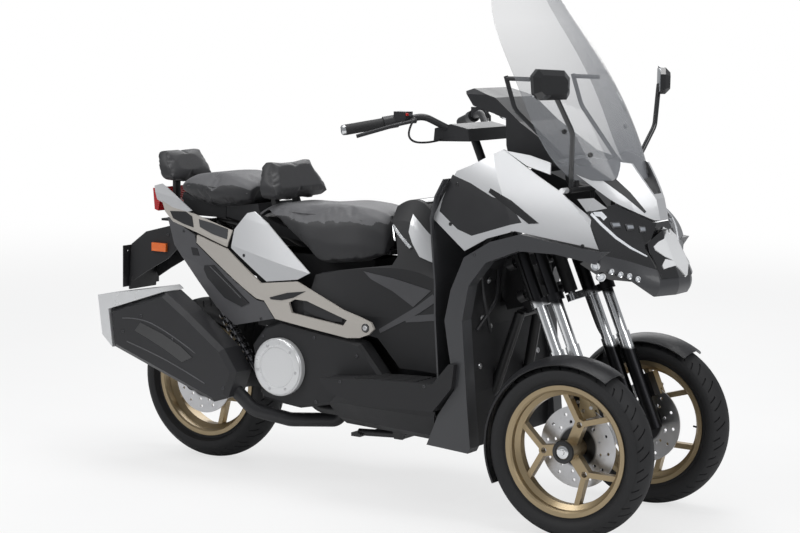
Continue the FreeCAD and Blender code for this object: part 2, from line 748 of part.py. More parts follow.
def make_engine():
    """The engine as one block, the belt cases on both sides and the round cap."""
    half = engine_half_width - case_depth
    pieces = [side_prism(engine_shares, -half, half)]
    bar_z = bz(lower_tube_shares[2][2]) + frame_tube_radius + seat_gap + engine_bar_radius
    for sx, bar_half in zip(engine_bar_shares, (lower_tube_shares[3][1], lower_tube_shares[2][1])):
        reach = V(0, by(bar_half) + engine_bar_radius, 0)
        middle = V(bx(sx), 0, bar_z)
        pieces.append(rod(middle - reach, middle + reach, engine_bar_radius))
    neck = V(bx(engine_neck_shares[0]), case_y - seat_gap, bz(engine_neck_shares[1]))
    pieces.append(rod(neck - V(0, 2 * neck.y, 0), neck, engine_neck_radius))
    export("engine_block", fused(pieces))
    case = side_prism(case_shares, -case_y - case_depth, -case_y)
    face_edges = [edge for edge in case.Edges
                  if abs(edge.CenterOfMass.y + case_y + case_depth) < seat_gap]
    case = case.makeChamfer(cap_depth / 2, face_edges)
    export("case_covers", both(case))
    centre = V(bx(0.328), -case_y - case_depth - seat_gap, bz(0.404))
    disc = Part.makeCylinder(cap_radius, cap_depth, centre, V(0, -1, 0))
    rim_edges = [edge for edge in disc.Edges
                 if abs(edge.CenterOfMass.y - centre.y + cap_depth) < seat_gap]
    export("case_cap", disc.makeFillet(cap_depth / 3, rim_edges))


swingarm_shares = [(0.345, 0.372), (0.300, 0.362), (0.200, 0.350), (0.140, 0.322),
                   (0.100, 0.318), (0.085, 0.286), (0.100, 0.256), (0.150, 0.262),
                   (0.230, 0.300), (0.345, 0.318)]
swingarm_wall = 34.0
swingarm_eye_radius = 32.0
swingarm_brace_shares = (0.272, 0.335)
rear_disc_middle = -hub_half_width_rear + disc_thickness
rear_caliper_size = (96.0, 62.0, 50.0)
rear_caliper_lead = 40.0
rear_caliper_low = 308.0


def make_swingarm():
    """The swingarm with its pivot, cross brace, axle and caliper, and the two shocks."""
    pivot = V(bx(pivot_x_share), 0, bz(pivot_z_share))
    axle = V(rear_axle_x, 0, rear_tyre_radius)
    arm = side_prism(swingarm_shares, arm_outer - swingarm_wall, arm_outer)
    eye = Part.makeCylinder(swingarm_eye_radius, swingarm_wall,
                            axle + V(0, arm_outer - swingarm_wall, 0), V(0, 1, 0))
    far = V(0, arm_outer, 0)
    bore = rod(pivot - far - far, pivot + far + far, swing_pivot_radius + running_gap)
    cross = rod(pivot - far, pivot + far, arm_tube_radius)
    brace_place = V(bx(swingarm_brace_shares[0]), 0, bz(swingarm_brace_shares[1]))
    brace = rod(brace_place - far + V(0, seat_gap, 0), brace_place + far - V(0, seat_gap, 0),
                arm_tube_radius * 0.8)
    spindle = rod(axle - far, axle + far, rear_axle_radius)
    caliper_low = swingarm_wall - arm_outer - seat_gap
    length, depth, height = rear_caliper_size
    caliper_arm = Part.makeBox(length, depth, height,
                               V(rear_axle_x + rear_caliper_lead, caliper_low - overrun / 2,
                                 rear_caliper_low))
    slot = Part.makeCylinder(rear_disc_radius + moving_gap, disc_thickness + moving_gap,
                             V(rear_axle_x, rear_disc_middle - (disc_thickness + moving_gap) / 2,
                               rear_tyre_radius), V(0, 1, 0))
    caliper_arm = caliper_arm.cut(slot)
    foot = V(bx(shock_foot_shares[0]), -shock_y, bz(shock_foot_shares[1]))
    pin_half = V(0, shock_eye_width / 2 + shock_lug_wall / 2, 0)
    foot_pin = rod(foot - pin_half, foot + pin_half, shock_pin_radius)
    pieces = [arm, mirrored(arm), eye, mirrored(eye), cross, brace, spindle, caliper_arm,
              foot_pin, mirrored(foot_pin)]
    export("swingarm", fused(pieces).cut(bore))


def shock():
    """The right rear shock: eyes, damper body, spring seats and a ribbed spring sleeve."""
    foot = V(bx(shock_foot_shares[0]), -shock_y, bz(shock_foot_shares[1]))
    top = V(bx(shock_top_shares[0]), -shock_y, bz(shock_top_shares[1]))
    way = (top - foot).normalize()
    length = (top - foot).Length
    eye_half = V(0, shock_eye_width / 2, 0)
    pieces = [rod(foot - eye_half, foot + eye_half, 2 * shock_pin_radius),
              rod(top - eye_half, top + eye_half, 2 * shock_pin_radius),
              rod(foot + way * shock_pin_radius * 1.5, top - way * shock_pin_radius * 1.5,
                  0.4 * shock_radius)]
    pitch = length * 0.60 / shock_coils
    for number in range(shock_coils + 1):
        middle = foot + way * (length * 0.22 + number * pitch)
        coil = rod(middle - way * pitch * 0.25, middle + way * pitch * 0.25, shock_radius)
        pieces.append(coil)
    body = fused(pieces)
    for spot in (foot, top):
        body = body.cut(rod(spot - eye_half * 2, spot + eye_half * 2,
                            shock_pin_radius + running_gap))
    return body


def make_shocks():
    """The two rear shocks."""
    export("rear_shocks", both(shock()))


shock_coils = 7

muffler_shares = [
    (-0.012, 0.545), (0.109, 0.625), (0.160, 0.560), (0.235, 0.455), (0.262, 0.380),
    (0.245, 0.290), (0.215, 0.268), (-0.003, 0.414),
]
muffler_cap_shares = [(-0.036, 0.592), (0.100, 0.640), (0.109, 0.627), (-0.012, 0.547),
                      (-0.003, 0.414), (-0.026, 0.455)]
pipe_shares = [(0.230, -0.87, 0.330), (0.275, -0.80, 0.245), (0.330, -0.60, 0.215),
               (0.400, -0.28, 0.215), (0.400, -0.28, 0.2797)]


def make_muffler():
    """The muffler body with its pipe, and the silver end cap."""
    body = side_prism(muffler_shares, -muffler_y - muffler_half_width,
                      -muffler_y + muffler_half_width)
    long_edges = [edge for edge in body.Edges
                  if abs(abs(edge.CenterOfMass.y + muffler_y) - muffler_half_width) < seat_gap]
    body = body.makeChamfer(muffler_chamfer, long_edges)
    pipe = bent_tube(stepped(pipe_shares), pipe_radius, tube_bend)
    export("muffler", fused([body, pipe]))
    cap = side_prism(muffler_cap_shares, -muffler_y - muffler_half_width,
                     -muffler_y + muffler_half_width)
    export("muffler_cap", cap.cut(body))


# Rear body

side_panel_shares = [(0.235, 0.904), (0.249, 0.911), (0.281, 0.877), (0.382, 0.727),
                     (0.360, 0.703), (0.299, 0.687), (0.214, 0.785), (0.214, 0.847)]
tail_cowl_shares = [(0.002, 0.966), (0.020, 0.975), (0.105, 0.893), (0.092, 0.886),
                    (0.043, 0.900), (0.014, 0.919)]
trim_shares = [(0.128, 0.814), (0.205, 0.780), (0.288, 0.680), (0.360, 0.697),
               (0.451, 0.618), (0.487, 0.598), (0.507, 0.585), (0.513, 0.566), (0.503, 0.546),
               (0.485, 0.532), (0.462, 0.528), (0.322, 0.567), (0.299, 0.624),
               (0.282, 0.628), (0.128, 0.788)]
trim_hole_shares = [(0.350, 0.626), (0.360, 0.639), (0.384, 0.637), (0.462, 0.587),
                    (0.455, 0.567), (0.356, 0.593)]
rail_shares = [(0.026, 0.917), (0.055, 0.897), (0.110, 0.884), (0.210, 0.842),
               (0.204, 0.786), (0.130, 0.820), (0.060, 0.848), (0.037, 0.880)]
skirt_shares = [(0.045, 0.862), (0.120, 0.812), (0.126, 0.782), (0.280, 0.622), (0.298, 0.618),
                (0.318, 0.566), (0.228, 0.524), (0.179, 0.578), (0.130, 0.656), (0.064, 0.769)]


def make_rear_body():
    """The panels that wrap the tail and the sides below the seat."""
    panel = skin(rear_outer, rear_inner, side_panel_shares)
    panel = fused([panel, boss(0.262, 0.756, by(0.4355) + seat_rail_radius, rear_outer)])
    rail_room = side_prism(rail_shares, -far_y, 0)
    cowl = skin(rear_outer, rear_inner, tail_cowl_shares).cut(rail_room)
    export("side_panels", both(panel))
    export("tail_cowl", both(cowl))
    trim = skin(rear_proud, rear_inner, trim_shares)
    trim = trim.cut(side_prism(trim_hole_shares, -far_y, 0))
    trim = fused([trim, boss(0.300, 0.655, by(0.467) + seat_rail_radius, rear_outer)])
    export("frame_trims", both(trim))
    rail = skin(rear_outer, rear_inner, rail_shares)
    rail = fused([rail, boss(0.130, 0.832, by(0.366) + seat_rail_radius, rear_outer)])
    export("grab_rails", both(rail))
    skirt = skin(rear_outer, rear_inner, skirt_shares).cut(rail_room)
    skirt = skirt.cut(side_prism(trim_shares, -far_y, 0))
    skirt = fused([skirt, boss(0.200, 0.666, by(0.4395) + frame_tube_radius, rear_outer)])
    export("tail_skirts", both(skirt))


# Nose and front body

fairing_shares = [(0.633, 0.948), (0.647, 1.007), (0.671, 1.100), (0.698, 1.123),
                  (0.746, 1.174), (0.814, 1.099), (0.857, 1.055), (0.909, 0.980),
                  (0.932, 0.896), (0.790, 0.932), (0.740, 0.902), (0.698, 0.856)]
insert_shares = [(0.664, 1.088), (0.699, 1.067), (0.741, 1.031), (0.776, 1.014),
                 (0.800, 0.959), (0.781, 0.950), (0.710, 0.905), (0.682, 0.921),
                 (0.645, 0.972), (0.649, 1.007)]
surround_shares = [(0.942, 0.888), (0.867, 0.905), (0.801, 0.924), (0.748, 0.893),
                   (0.702, 0.838), (0.679, 0.731), (0.669, 0.634), (0.677, 0.541),
                   (0.690, 0.420), (0.660, 0.330), (0.640, 0.230), (0.716, 0.220),
                   (0.720, 0.236), (0.712, 0.390), (0.705, 0.544), (0.701, 0.638),
                   (0.711, 0.750), (0.741, 0.827), (0.798, 0.872), (0.862, 0.872),
                   (0.930, 0.852)]
hood_shares = [(0.837, 1.149), (0.860, 1.165), (0.925, 1.140), (0.946, 1.080), (0.962, 1.030),
               (0.985, 0.962), (0.963, 0.970), (0.918, 1.028), (0.868, 1.104)]
lamp_shares = [(0.899, 1.002), (0.920, 1.020), (0.962, 0.964), (0.985, 0.956), (0.975, 0.900),
               (0.948, 0.905)]
beak_shares = [(0.990, 0.975), (0.995, 0.880), (1.012, 0.800), (0.990, 0.800), (0.984, 0.826),
               (0.970, 0.880), (0.966, 0.905), (0.977, 0.950)]
beak_room_shares = [(0.966, 1.010), (1.030, 1.010), (1.030, 0.790), (0.966, 0.790)]
cheek_shares = [(0.899, 1.002), (0.948, 0.905), (0.975, 0.900), (0.984, 0.826),
                (0.972, 0.838), (0.936, 0.880), (0.932, 0.896), (0.909, 0.980)]
upper_panel_shares = [(0.751, 1.170), (0.790, 1.160), (0.827, 1.140), (0.831, 1.106),
                      (0.790, 1.128), (0.746, 1.174)]
chin_shares = [(0.936, 0.880), (0.972, 0.838), (0.984, 0.826), (1.012, 0.800), (1.012, 0.745),
               (0.985, 0.745), (0.952, 0.815), (0.905, 0.862)]


def make_nose():
    """Side fairings with their inserts, hood, headlamps, beak and chin."""
    fairing = skin(nose_outer, nose_inner, fairing_shares)
    fairing = fairing.cut(side_prism(insert_shares, -far_y, 0))
    top_panel = skin(nose_inner, nose_form(-2 * panel_wall), upper_panel_shares)
    fairing = fused([fairing, boss(0.857, 1.060, by(nose_bar_half_share), nose_outer)])
    export("fairings", Part.makeCompound([fairing, mirrored(fairing), top_panel,
                                          mirrored(top_panel)]))
    insert = skin(nose_outer, nose_inner, insert_shares)
    export("fairing_inserts", both(insert))
    beak = side_prism(beak_shares, -by(0.36), by(0.36)).common(nose_proud).cut(nose_inner)
    surround = side_prism(surround_shares, -by(1.03), -by(0.84))
    beak_room = side_prism(beak_room_shares, -by(0.36), by(0.36))
    lamp = skin(nose_outer, nose_deep, lamp_shares).cut(beak_room)
    stay_x, stay_y, stay_z = lamp_stay_shares[2]
    lamp_boss = boss(stay_x - 0.008, stay_z, by(stay_y) + frame_tube_radius, nose_inner)
    export("headlamps", both(fused([lamp, lamp_boss])))
    cheek = skin(nose_outer, nose_inner, cheek_shares).cut(lamp)
    export("cheeks", both(cheek.cut(beak).cut(surround)))
    whole_skin = nose_outer.cut(nose_inner)
    hood = side_prism(hood_shares, -far_y, far_y).common(whole_skin)
    export("hood", hood.cut(screen_solid()))
    export("beak", beak)
    chin = side_prism(chin_shares, -far_y, far_y).common(whole_skin)
    export("chin", chin.cut(surround).cut(mirrored(surround)).cut(beak))
    export("arch_surrounds", both(surround))


# Screen and its brackets

screen_levels = [
    (1.090, 0.930, 0.860, 0.66), (1.250, 0.898, 0.805, 0.82), (1.400, 0.855, 0.768, 0.82),
    (1.540, 0.805, 0.728, 0.74), (1.655, 0.764, 0.704, 0.56),
]


def screen_section(level, wall, ahead=0):
    """One level of the screen: an arc band from side to side, its front moved ahead."""
    sz, middle_share, edge_share, side_share = level
    z = bz(sz)
    middle = V(bx(middle_share), 0, z)
    right = V(bx(edge_share), -by(side_share), z)
    left = V(bx(edge_share), by(side_share), z)
    back = V(wall, 0, 0)
    front = V(ahead, 0, 0)
    outer = Part.Arc(right + front, middle + front, left + front).toShape()
    inner = Part.Arc(left - back, middle - back, right - back).toShape()
    return Part.Wire([outer, Part.makeLine(left + front, left - back), inner,
                      Part.makeLine(right - back, right + front)])


def screen_inner_x(level, y):
    """The x of the screen's inner face at one of its levels and a y."""
    middle_share, edge_share, side_share = level[1:]
    rise = bx(middle_share) - bx(edge_share)
    half = by(side_share)
    radius = (half * half + rise * rise) / (2 * rise)
    return bx(middle_share) - screen_wall - radius + math.sqrt(radius * radius - y * y)


def screen_solid(ahead=0):
    """The screen's curved sheet, or the room from its inner face to a way ahead of it."""
    sections = [screen_section(level, screen_wall, ahead) for level in screen_levels]
    return Part.makeLoft(sections, True, False)


def make_screen():
    """The tall clear screen."""
    export("windscreen", screen_solid())


# Seat, tub, tunnel and lower body

hinge_x_share = 0.497
hinge_z_share = 0.885
hinge_pin_radius = 5.0
hinge_barrel_wall = 5.0
hinge_half_width = 60.0
ear_thickness = 8.0
tub_half_width = 84.0
cushion_half_width = 178.0
cushion_chamfer = 40.0
pillion_half_width = 140.0
base_half_width = 100.0
backrest_half_width = 158.0
pillion_rest_half_width = 118.0
pad_chamfer = 18.0
bracket_width = 26.0

tub_shares = [(0.235, 0.660), (0.300, 0.600), (0.455, 0.600), (0.465, 0.770), (0.235, 0.770)]
rider_seat_form_shares = [
    (0.238, [(0.912, 0.26), (0.908, 0.38), (0.900, 0.44), (0.892, 0.46), (0.885, 0.44)]),
    (0.262, [(0.930, 0.30), (0.924, 0.42), (0.905, 0.50), (0.890, 0.51), (0.878, 0.48)]),
    (0.316, [(0.934, 0.32), (0.926, 0.46), (0.900, 0.56), (0.860, 0.59), (0.836, 0.57)]),
    (0.388, [(0.946, 0.32), (0.936, 0.46), (0.898, 0.56), (0.820, 0.61), (0.757, 0.60)]),
    (0.448, [(0.940, 0.30), (0.928, 0.42), (0.888, 0.51), (0.820, 0.57), (0.762, 0.58)]),
    (0.486, [(0.916, 0.26), (0.902, 0.36), (0.866, 0.44), (0.820, 0.49), (0.785, 0.51)]),
    (0.503, [(0.878, 0.20), (0.866, 0.30), (0.840, 0.38), (0.812, 0.44), (0.795, 0.46)]),
]
rider_seat_shares = [(0.230, 0.700), (0.230, 1.000), (0.520, 1.000), (0.520, 0.787),
                     (0.430, 0.765), (0.386, 0.753), (0.289, 0.889), (0.250, 0.917)]
seat_hollow_shares = [(0.20, 0.60), (0.51, 0.60), (0.51, 0.8103), (0.3721, 0.8103),
                      (0.2682, 0.8683), (0.236, 0.8972), (0.20, 0.930)]
ear_shares = [(0.4925, 0.878), (0.4925, 0.892), (0.497, 0.896), (0.501, 0.892), (0.536, 0.830),
              (0.536, 0.790)]
bulkhead_shares = (0.534, 0.5365)
base_shares = [(0.500, 0.795), (0.500, 0.810), (0.372, 0.810), (0.268, 0.868), (0.232, 0.900),
               (0.228, 0.930), (0.143, 0.908), (0.066, 0.950), (0.062, 0.925), (0.150, 0.880),
               (0.250, 0.840), (0.370, 0.795)]
pillion_form_shares = [
    (0.060, [(0.982, 0.26), (0.978, 0.34), (0.968, 0.37), (0.960, 0.36), (0.950, 0.32)]),
    (0.082, [(1.006, 0.32), (0.998, 0.42), (0.982, 0.46), (0.962, 0.46), (0.942, 0.42)]),
    (0.131, [(1.022, 0.34), (1.012, 0.44), (0.988, 0.49), (0.950, 0.50), (0.918, 0.46)]),
    (0.200, [(1.014, 0.34), (1.004, 0.44), (0.985, 0.48), (0.955, 0.49), (0.928, 0.46)]),
    (0.224, [(0.986, 0.28), (0.980, 0.36), (0.970, 0.40), (0.952, 0.42), (0.936, 0.40)]),
]
backrest_shares = [(0.252, 0.950), (0.240, 1.060), (0.246, 1.080), (0.262, 1.082),
                   (0.288, 0.968), (0.280, 0.948)]
rest_arm_shares = [(0.250, 0.895), (0.245, 0.955), (0.252, 0.955), (0.265, 0.895)]
pillion_rest_shares = [(0.022, 0.985), (0.004, 1.080), (0.010, 1.094), (0.026, 1.094),
                       (0.050, 1.000), (0.046, 0.982)]
rest_post_shares = [(0.022, 0.8463), (0.030, 0.8463), (0.030, 0.984), (0.022, 0.984)]


def pad(shares, half_width, chamfer):
    """A block across the machine, seen from behind with its corners taken off."""
    block = side_prism(shares, -half_width, half_width)
    box = block.BoundBox
    half = half_width - chamfer
    outline = [V(box.XMin, -half, box.ZMin), V(box.XMin, -half_width, box.ZMin + chamfer),
               V(box.XMin, -half_width, box.ZMax - chamfer), V(box.XMin, -half, box.ZMax),
               V(box.XMin, half, box.ZMax), V(box.XMin, half_width, box.ZMax - chamfer),
               V(box.XMin, half_width, box.ZMin + chamfer), V(box.XMin, half, box.ZMin)]
    return Part.Face(loop(outline)).extrude(V(box.XLength, 0, 0)).common(block)


def make_seat():
    """The lifting seat: base with its hinge barrel, both cushions and the rider's backrest."""
    hinge = V(bx(hinge_x_share), 0, bz(hinge_z_share))
    inner = hinge_half_width - ear_thickness - moving_gap
    barrel_radius = hinge_pin_radius + running_gap + hinge_barrel_wall
    base = side_prism(base_shares, -base_half_width, base_half_width)
    arm = side_prism([(hinge_x_share - 0.004, hinge_z_share), (hinge_x_share + 0.004, hinge_z_share),
                      (0.500, 0.810), (0.488, 0.810)], -inner, inner)
    barrel = rod(hinge - V(0, inner, 0), hinge + V(0, inner, 0), barrel_radius)
    bore = rod(hinge - V(0, far_y, 0), hinge + V(0, far_y, 0), hinge_pin_radius + running_gap)
    export("seat_base", fused([base, arm, barrel]).cut(bore))
    cushion = form(rider_seat_form_shares).common(side_prism(rider_seat_shares, -far_y, far_y))
    cushion = cushion.cut(side_prism(seat_hollow_shares, -base_half_width - seat_gap,
                                     base_half_width + seat_gap))
    notch = rod(hinge - V(0, hinge_half_width + moving_gap, 0),
                hinge + V(0, hinge_half_width + moving_gap, 0), barrel_radius + moving_gap)
    well = Part.makeBox(0.04 * body_length, 2 * (hinge_half_width + moving_gap),
                        bz(hinge_z_share - 0.80), V(hinge.x - 0.012 * body_length,
                                                    -hinge_half_width - moving_gap, bz(0.80)))
    export("rider_seat", cushion.cut(notch).cut(well))
    pillion = form(pillion_form_shares).cut(
        side_prism(base_shares, -base_half_width - seat_gap, base_half_width + seat_gap))
    export("pillion_seat", pillion)
    rest = pad(backrest_shares, backrest_half_width, pad_chamfer)
    low = V(bx(rest_arm_shares[0][0]), 0, 0)
    arm = side_prism(rest_arm_shares, 0, bracket_width)
    arm.translate(V(0, base_half_width - 2 * bracket_width, 0))
    arm = arm.cut(rest).cut(side_prism(base_shares, -base_half_width, base_half_width))
    arm = arm.cut(cushion)
    rest = rest.cut(cushion)
    export("rider_backrest", fused([rest, arm, mirrored(arm)]))
    pillion_rest = pad(pillion_rest_shares, pillion_rest_half_width, pad_chamfer)
    post = side_prism(rest_post_shares, 0, bracket_width)
    post.translate(V(0, bracket_width, 0))
    export("pillion_backrest", fused([pillion_rest, post, mirrored(post)]))


tunnel_form_shares = [
    (0.35, [(0.80, 0.55), (0.76, 0.64), (0.70, 0.68), (0.56, 0.70), (0.42, 0.70)]),
    (0.50, [(0.945, 0.28), (0.90, 0.40), (0.76, 0.60), (0.60, 0.64), (0.42, 0.62)]),
    (0.558, [(0.972, 0.28), (0.90, 0.42), (0.76, 0.56), (0.60, 0.58), (0.42, 0.58)]),
    (0.600, [(0.860, 0.28), (0.81, 0.42), (0.74, 0.54), (0.60, 0.58), (0.42, 0.60)]),
    (0.70, [(0.770, 0.40), (0.74, 0.52), (0.68, 0.60), (0.58, 0.64), (0.42, 0.68)]),
]
tunnel_shares = [(0.385, 0.724), (0.430, 0.742), (0.526, 0.772), (0.533, 0.800),
                 (0.522, 0.872), (0.507, 0.912), (0.506, 0.990), (0.650, 0.990),
                 (0.650, 0.740), (0.642, 0.640), (0.650, 0.436), (0.545, 0.436), (0.505, 0.530),
                 (0.455, 0.548), (0.372, 0.580)]
lid_shares = (0.512, 0.556)
lid_half_width = 62.0
lid_top_share = 0.972
lid_hinge_drop = 5.0
lid_pin_radius = 2.0
lid_barrel_radius = 4.0
lid_knuckle_half_width = 30.0


def make_tunnel():
    """The tunnel with the seat's hinge ears and the fuel filler, and the fuel lid."""
    outer = form(tunnel_form_shares)
    inner = form(tunnel_form_shares, -panel_wall, -panel_wall)
    whole = side_prism(tunnel_shares, -far_y, far_y).common(outer).cut(inner)
    lid_low, lid_high = [bx(share) for share in lid_shares]
    window = Part.makeBox(lid_high - lid_low, 2 * lid_half_width, bz(0.2),
                          V(lid_low, -lid_half_width, bz(0.93)))
    gap = moving_gap
    front_gap = gap + lid_pin_radius
    wide_window = Part.makeBox(lid_high - lid_low + gap + front_gap, 2 * (lid_half_width + gap),
                               bz(0.2), V(lid_low - gap, -lid_half_width - gap, bz(0.93)))
    lid = outer.cut(inner).common(window)
    shell = whole.cut(wide_window)
    tray_top = bz(0.921)
    tray = Part.makeBox(lid_high - lid_low + 4 * gap, 2 * (lid_half_width + 2 * gap), panel_wall,
                        V(lid_low - 2 * gap, -lid_half_width - 2 * gap, tray_top - panel_wall))
    rim_wall_box = Part.makeBox(lid_high - lid_low + 4 * gap, 2 * (lid_half_width + 2 * gap),
                                bz(0.045), V(lid_low - 2 * gap, -lid_half_width - 2 * gap, tray_top))
    collar = rim_wall_box.cut(wide_window).common(outer)
    filler = Part.makeCylinder(lid_half_width / 2, bz(0.010),
                               V((lid_low + lid_high) / 2, 0, tray_top))
    hinge = V(bx(hinge_x_share), 0, bz(hinge_z_share))
    pieces = [shell, tray, collar, filler]
    for side in (-1, 1):
        low_y = side * hinge_half_width - (ear_thickness if side > 0 else 0)
        pieces.append(side_prism(ear_shares, low_y, low_y + ear_thickness))
    bulkhead_low, bulkhead_high = [bx(share) for share in bulkhead_shares]
    bulkhead = Part.makeBox(bulkhead_high - bulkhead_low, 2 * far_y, bz(0.34),
                            V(bulkhead_low, -far_y, bz(0.56))).common(outer)
    pieces.append(bulkhead.common(side_prism(tunnel_shares, -far_y, far_y)))
    tub_room = Part.makeBox(bx(0.49) - bx(0.34), 2 * (tub_half_width + 5 * moving_gap), bz(0.60),
                            V(bx(0.34), -tub_half_width - 5 * moving_gap, bz(0.40)))
    pieces[0] = shell.cut(tub_room)
    lid_pin = V(lid_high + gap / 2, 0, bz(lid_top_share) - lid_hinge_drop)
    knuckle_y = V(0, lid_knuckle_half_width, 0)
    for side in (-1, 1):
        start = lid_pin + knuckle_y * side + V(0, side * running_gap, 0)
        ear_low = V(start.x - lid_pin_radius, min(start.y, start.y + side * lid_hinge_drop),
                    start.z - lid_pin_radius)
        pieces.append(Part.makeBox(4 * gap, lid_hinge_drop, 2 * lid_pin_radius, ear_low))
    tunnel = fused(pieces)
    for shares in (upper_tube_shares,):
        hole = bent_tube(stepped(shares), frame_tube_radius + panel_gap, tube_bend)
        tunnel = tunnel.cut(hole).cut(mirrored(hole))
    tunnel = fused([tunnel, rod(lid_pin - knuckle_y * 1.1, lid_pin + knuckle_y * 1.1,
                                lid_pin_radius)])
    lid_tab = Part.makeBox(gap, 2 * lid_knuckle_half_width, lid_barrel_radius,
                           lid_pin - V(gap, lid_knuckle_half_width, 0))
    lid = fused([lid, lid_tab, rod(lid_pin - knuckle_y, lid_pin + knuckle_y, lid_barrel_radius)])
    lid = lid.cut(rod(lid_pin - knuckle_y * 2, lid_pin + knuckle_y * 2,
                      lid_pin_radius + running_gap))
    pin = rod(hinge - V(0, hinge_half_width, 0), hinge + V(0, hinge_half_width, 0),
              hinge_pin_radius)
    tunnel = fused([tunnel, pin])
    tunnel_boss = boss(0.490, 0.579, by(0.371) + frame_tube_radius, outer)
    tunnel = fused([tunnel, tunnel_boss, mirrored(tunnel_boss)])
    export("tunnel", tunnel)
    export("fuel_lid", lid)


tub_foot = 24.0


def make_tub():
    """The storage tub below the seat, open at its top."""
    outer = side_prism(tub_shares, -tub_half_width, tub_half_width)
    inner_shares = [(0.235 + 0.002, 0.664), (0.301, 0.604), (0.453, 0.604), (0.463, 0.80),
                    (0.237, 0.80)]
    inner = side_prism(inner_shares, -tub_half_width + tub_wall, tub_half_width - tub_wall)
    cross = lower_tube_shares[5]
    foot_low = bz(cross[2]) + 0.8 * frame_tube_radius + seat_gap
    foot = Part.makeBox(tub_foot, 2 * tub_foot, bz(0.62) - foot_low,
                        V(bx(cross[0]) - tub_foot / 2, -tub_foot, foot_low))
    export("underseat_tub", fused([outer, foot]).cut(inner))


footboard_shares = [(0.440, 0.400), (0.545, 0.420), (0.655, 0.430), (0.684, 0.500),
                    (0.694, 0.500), (0.690, 0.425), (0.656, 0.342), (0.532, 0.332),
                    (0.457, 0.358)]
belly_shares = [(0.430, 0.300), (0.462, 0.350), (0.532, 0.328), (0.654, 0.338),
                (0.636, 0.200), (0.430, 0.200)]
belly_form_shares = [
    (0.36, [(0.420, 0.62), (0.300, 0.60), (0.250, 0.52), (0.220, 0.40)]),
    (0.50, [(0.420, 1.06), (0.320, 0.98), (0.250, 0.72), (0.220, 0.52)]),
    (0.60, [(0.420, 1.08), (0.320, 1.02), (0.250, 0.84), (0.220, 0.62)]),
    (0.74, [(0.420, 1.04), (0.320, 1.00), (0.250, 0.92), (0.220, 0.80)]),
]
liner_shares = [(0.704, 0.225), (0.703, 0.400), (0.690, 0.600), (0.690, 0.740), (0.700, 0.830),
                (0.7025, 0.830), (0.6925, 0.740), (0.6925, 0.600), (0.7055, 0.400),
                (0.7065, 0.225)]
shield_shares = [(0.651, 0.436), (0.643, 0.640), (0.642, 0.740), (0.634, 0.900), (0.632, 0.950),
                 (0.640, 1.020), (0.655, 1.075), (0.658, 1.075), (0.643, 1.020), (0.635, 0.950),
                 (0.637, 0.900), (0.645, 0.740), (0.646, 0.640), (0.654, 0.436)]
stand_slot = 14.0
belly_post_shares = [(0.470, 0.474), (0.620, 0.431)]


def make_lower_body():
    """Footboards, belly pan, the leg shields and the liner behind the front wheels."""
    board = side_prism(footboard_shares, -by(1.10), -by(0.66))
    case_room = side_prism(case_shares, -case_y - case_depth - moving_gap, -case_y + moving_gap)
    tunnel_room = form(tunnel_form_shares, seat_gap, seat_gap)
    surround = side_prism(surround_shares, -by(1.03), -by(0.84))
    board = board.cut(case_room).cut(tunnel_room).cut(surround)
    export("footboards", both(board))
    belly = side_prism(belly_shares, -far_y, far_y).common(form(belly_form_shares)).cut(
        form(belly_form_shares, -panel_wall, 0, -panel_wall)).cut(board).cut(mirrored(board))
    pivot = V(bx(stand_pivot_x_share), 0, stand_pivot_z)
    for side in (-1, 1):
        slot = Part.makeBox(5 * stand_slot, 3.4 * stand_slot, bz(0.1),
                            V(pivot.x - 2.5 * stand_slot, side * (stand_half_width + stand_slot)
                              - 1.7 * stand_slot, bz(0.16)))
        belly = belly.cut(slot)
        for sx, sy in belly_post_shares:
            low = V(bx(sx), side * by(sy), bz(lower_tube_shares[2][2]) - frame_tube_radius)
            post = rod(low - V(0, 0, seat_gap), low - V(0, 0, bz(0.06)), boss_radius)
            belly = fused([belly, post.common(form(belly_form_shares))])
    belly = belly.cut(case_room).cut(mirrored(case_room))
    export("belly_pan", belly)
    liner = side_prism(liner_shares, -by(0.84), by(0.84))
    for shares in (lower_tube_shares, upper_tube_shares):
        hole = bent_tube(stepped(shares), frame_tube_radius + panel_gap, tube_bend)
        liner = liner.cut(hole).cut(mirrored(hole))
    gusset_room = side_prism(gusset_shares, -spine_half_width / 2 - seat_gap,
                             spine_half_width / 2 + seat_gap)
    liner = liner.cut(gusset_room).cut(leaned(Part.makeBox(4 * spine_depth, 2 * spine_half_width + 2 * panel_gap,
                                          upright_length + 4 * arm_inset,
                                          V(spine_front - 3 * spine_depth,
                                            -spine_half_width - panel_gap,
                                            upright_low - 2 * arm_inset)), 0))
    export("arch_liner", liner)
    column_room = rod(column_point(0), column_point(2 * head_top_drop),
                      stem_radius + head_tube_wall + moving_gap)
    shield = side_prism(shield_shares, -by(0.96), by(0.96)).cut(tunnel_room).cut(column_room)
    for shares in (lower_tube_shares, upper_tube_shares):
        hole = bent_tube(stepped(shares), frame_tube_radius + panel_gap, tube_bend)
        shield = shield.cut(hole).cut(mirrored(hole))
    whole_skin = nose_outer.cut(nose_inner)
    export("leg_shields", shield.cut(whole_skin))


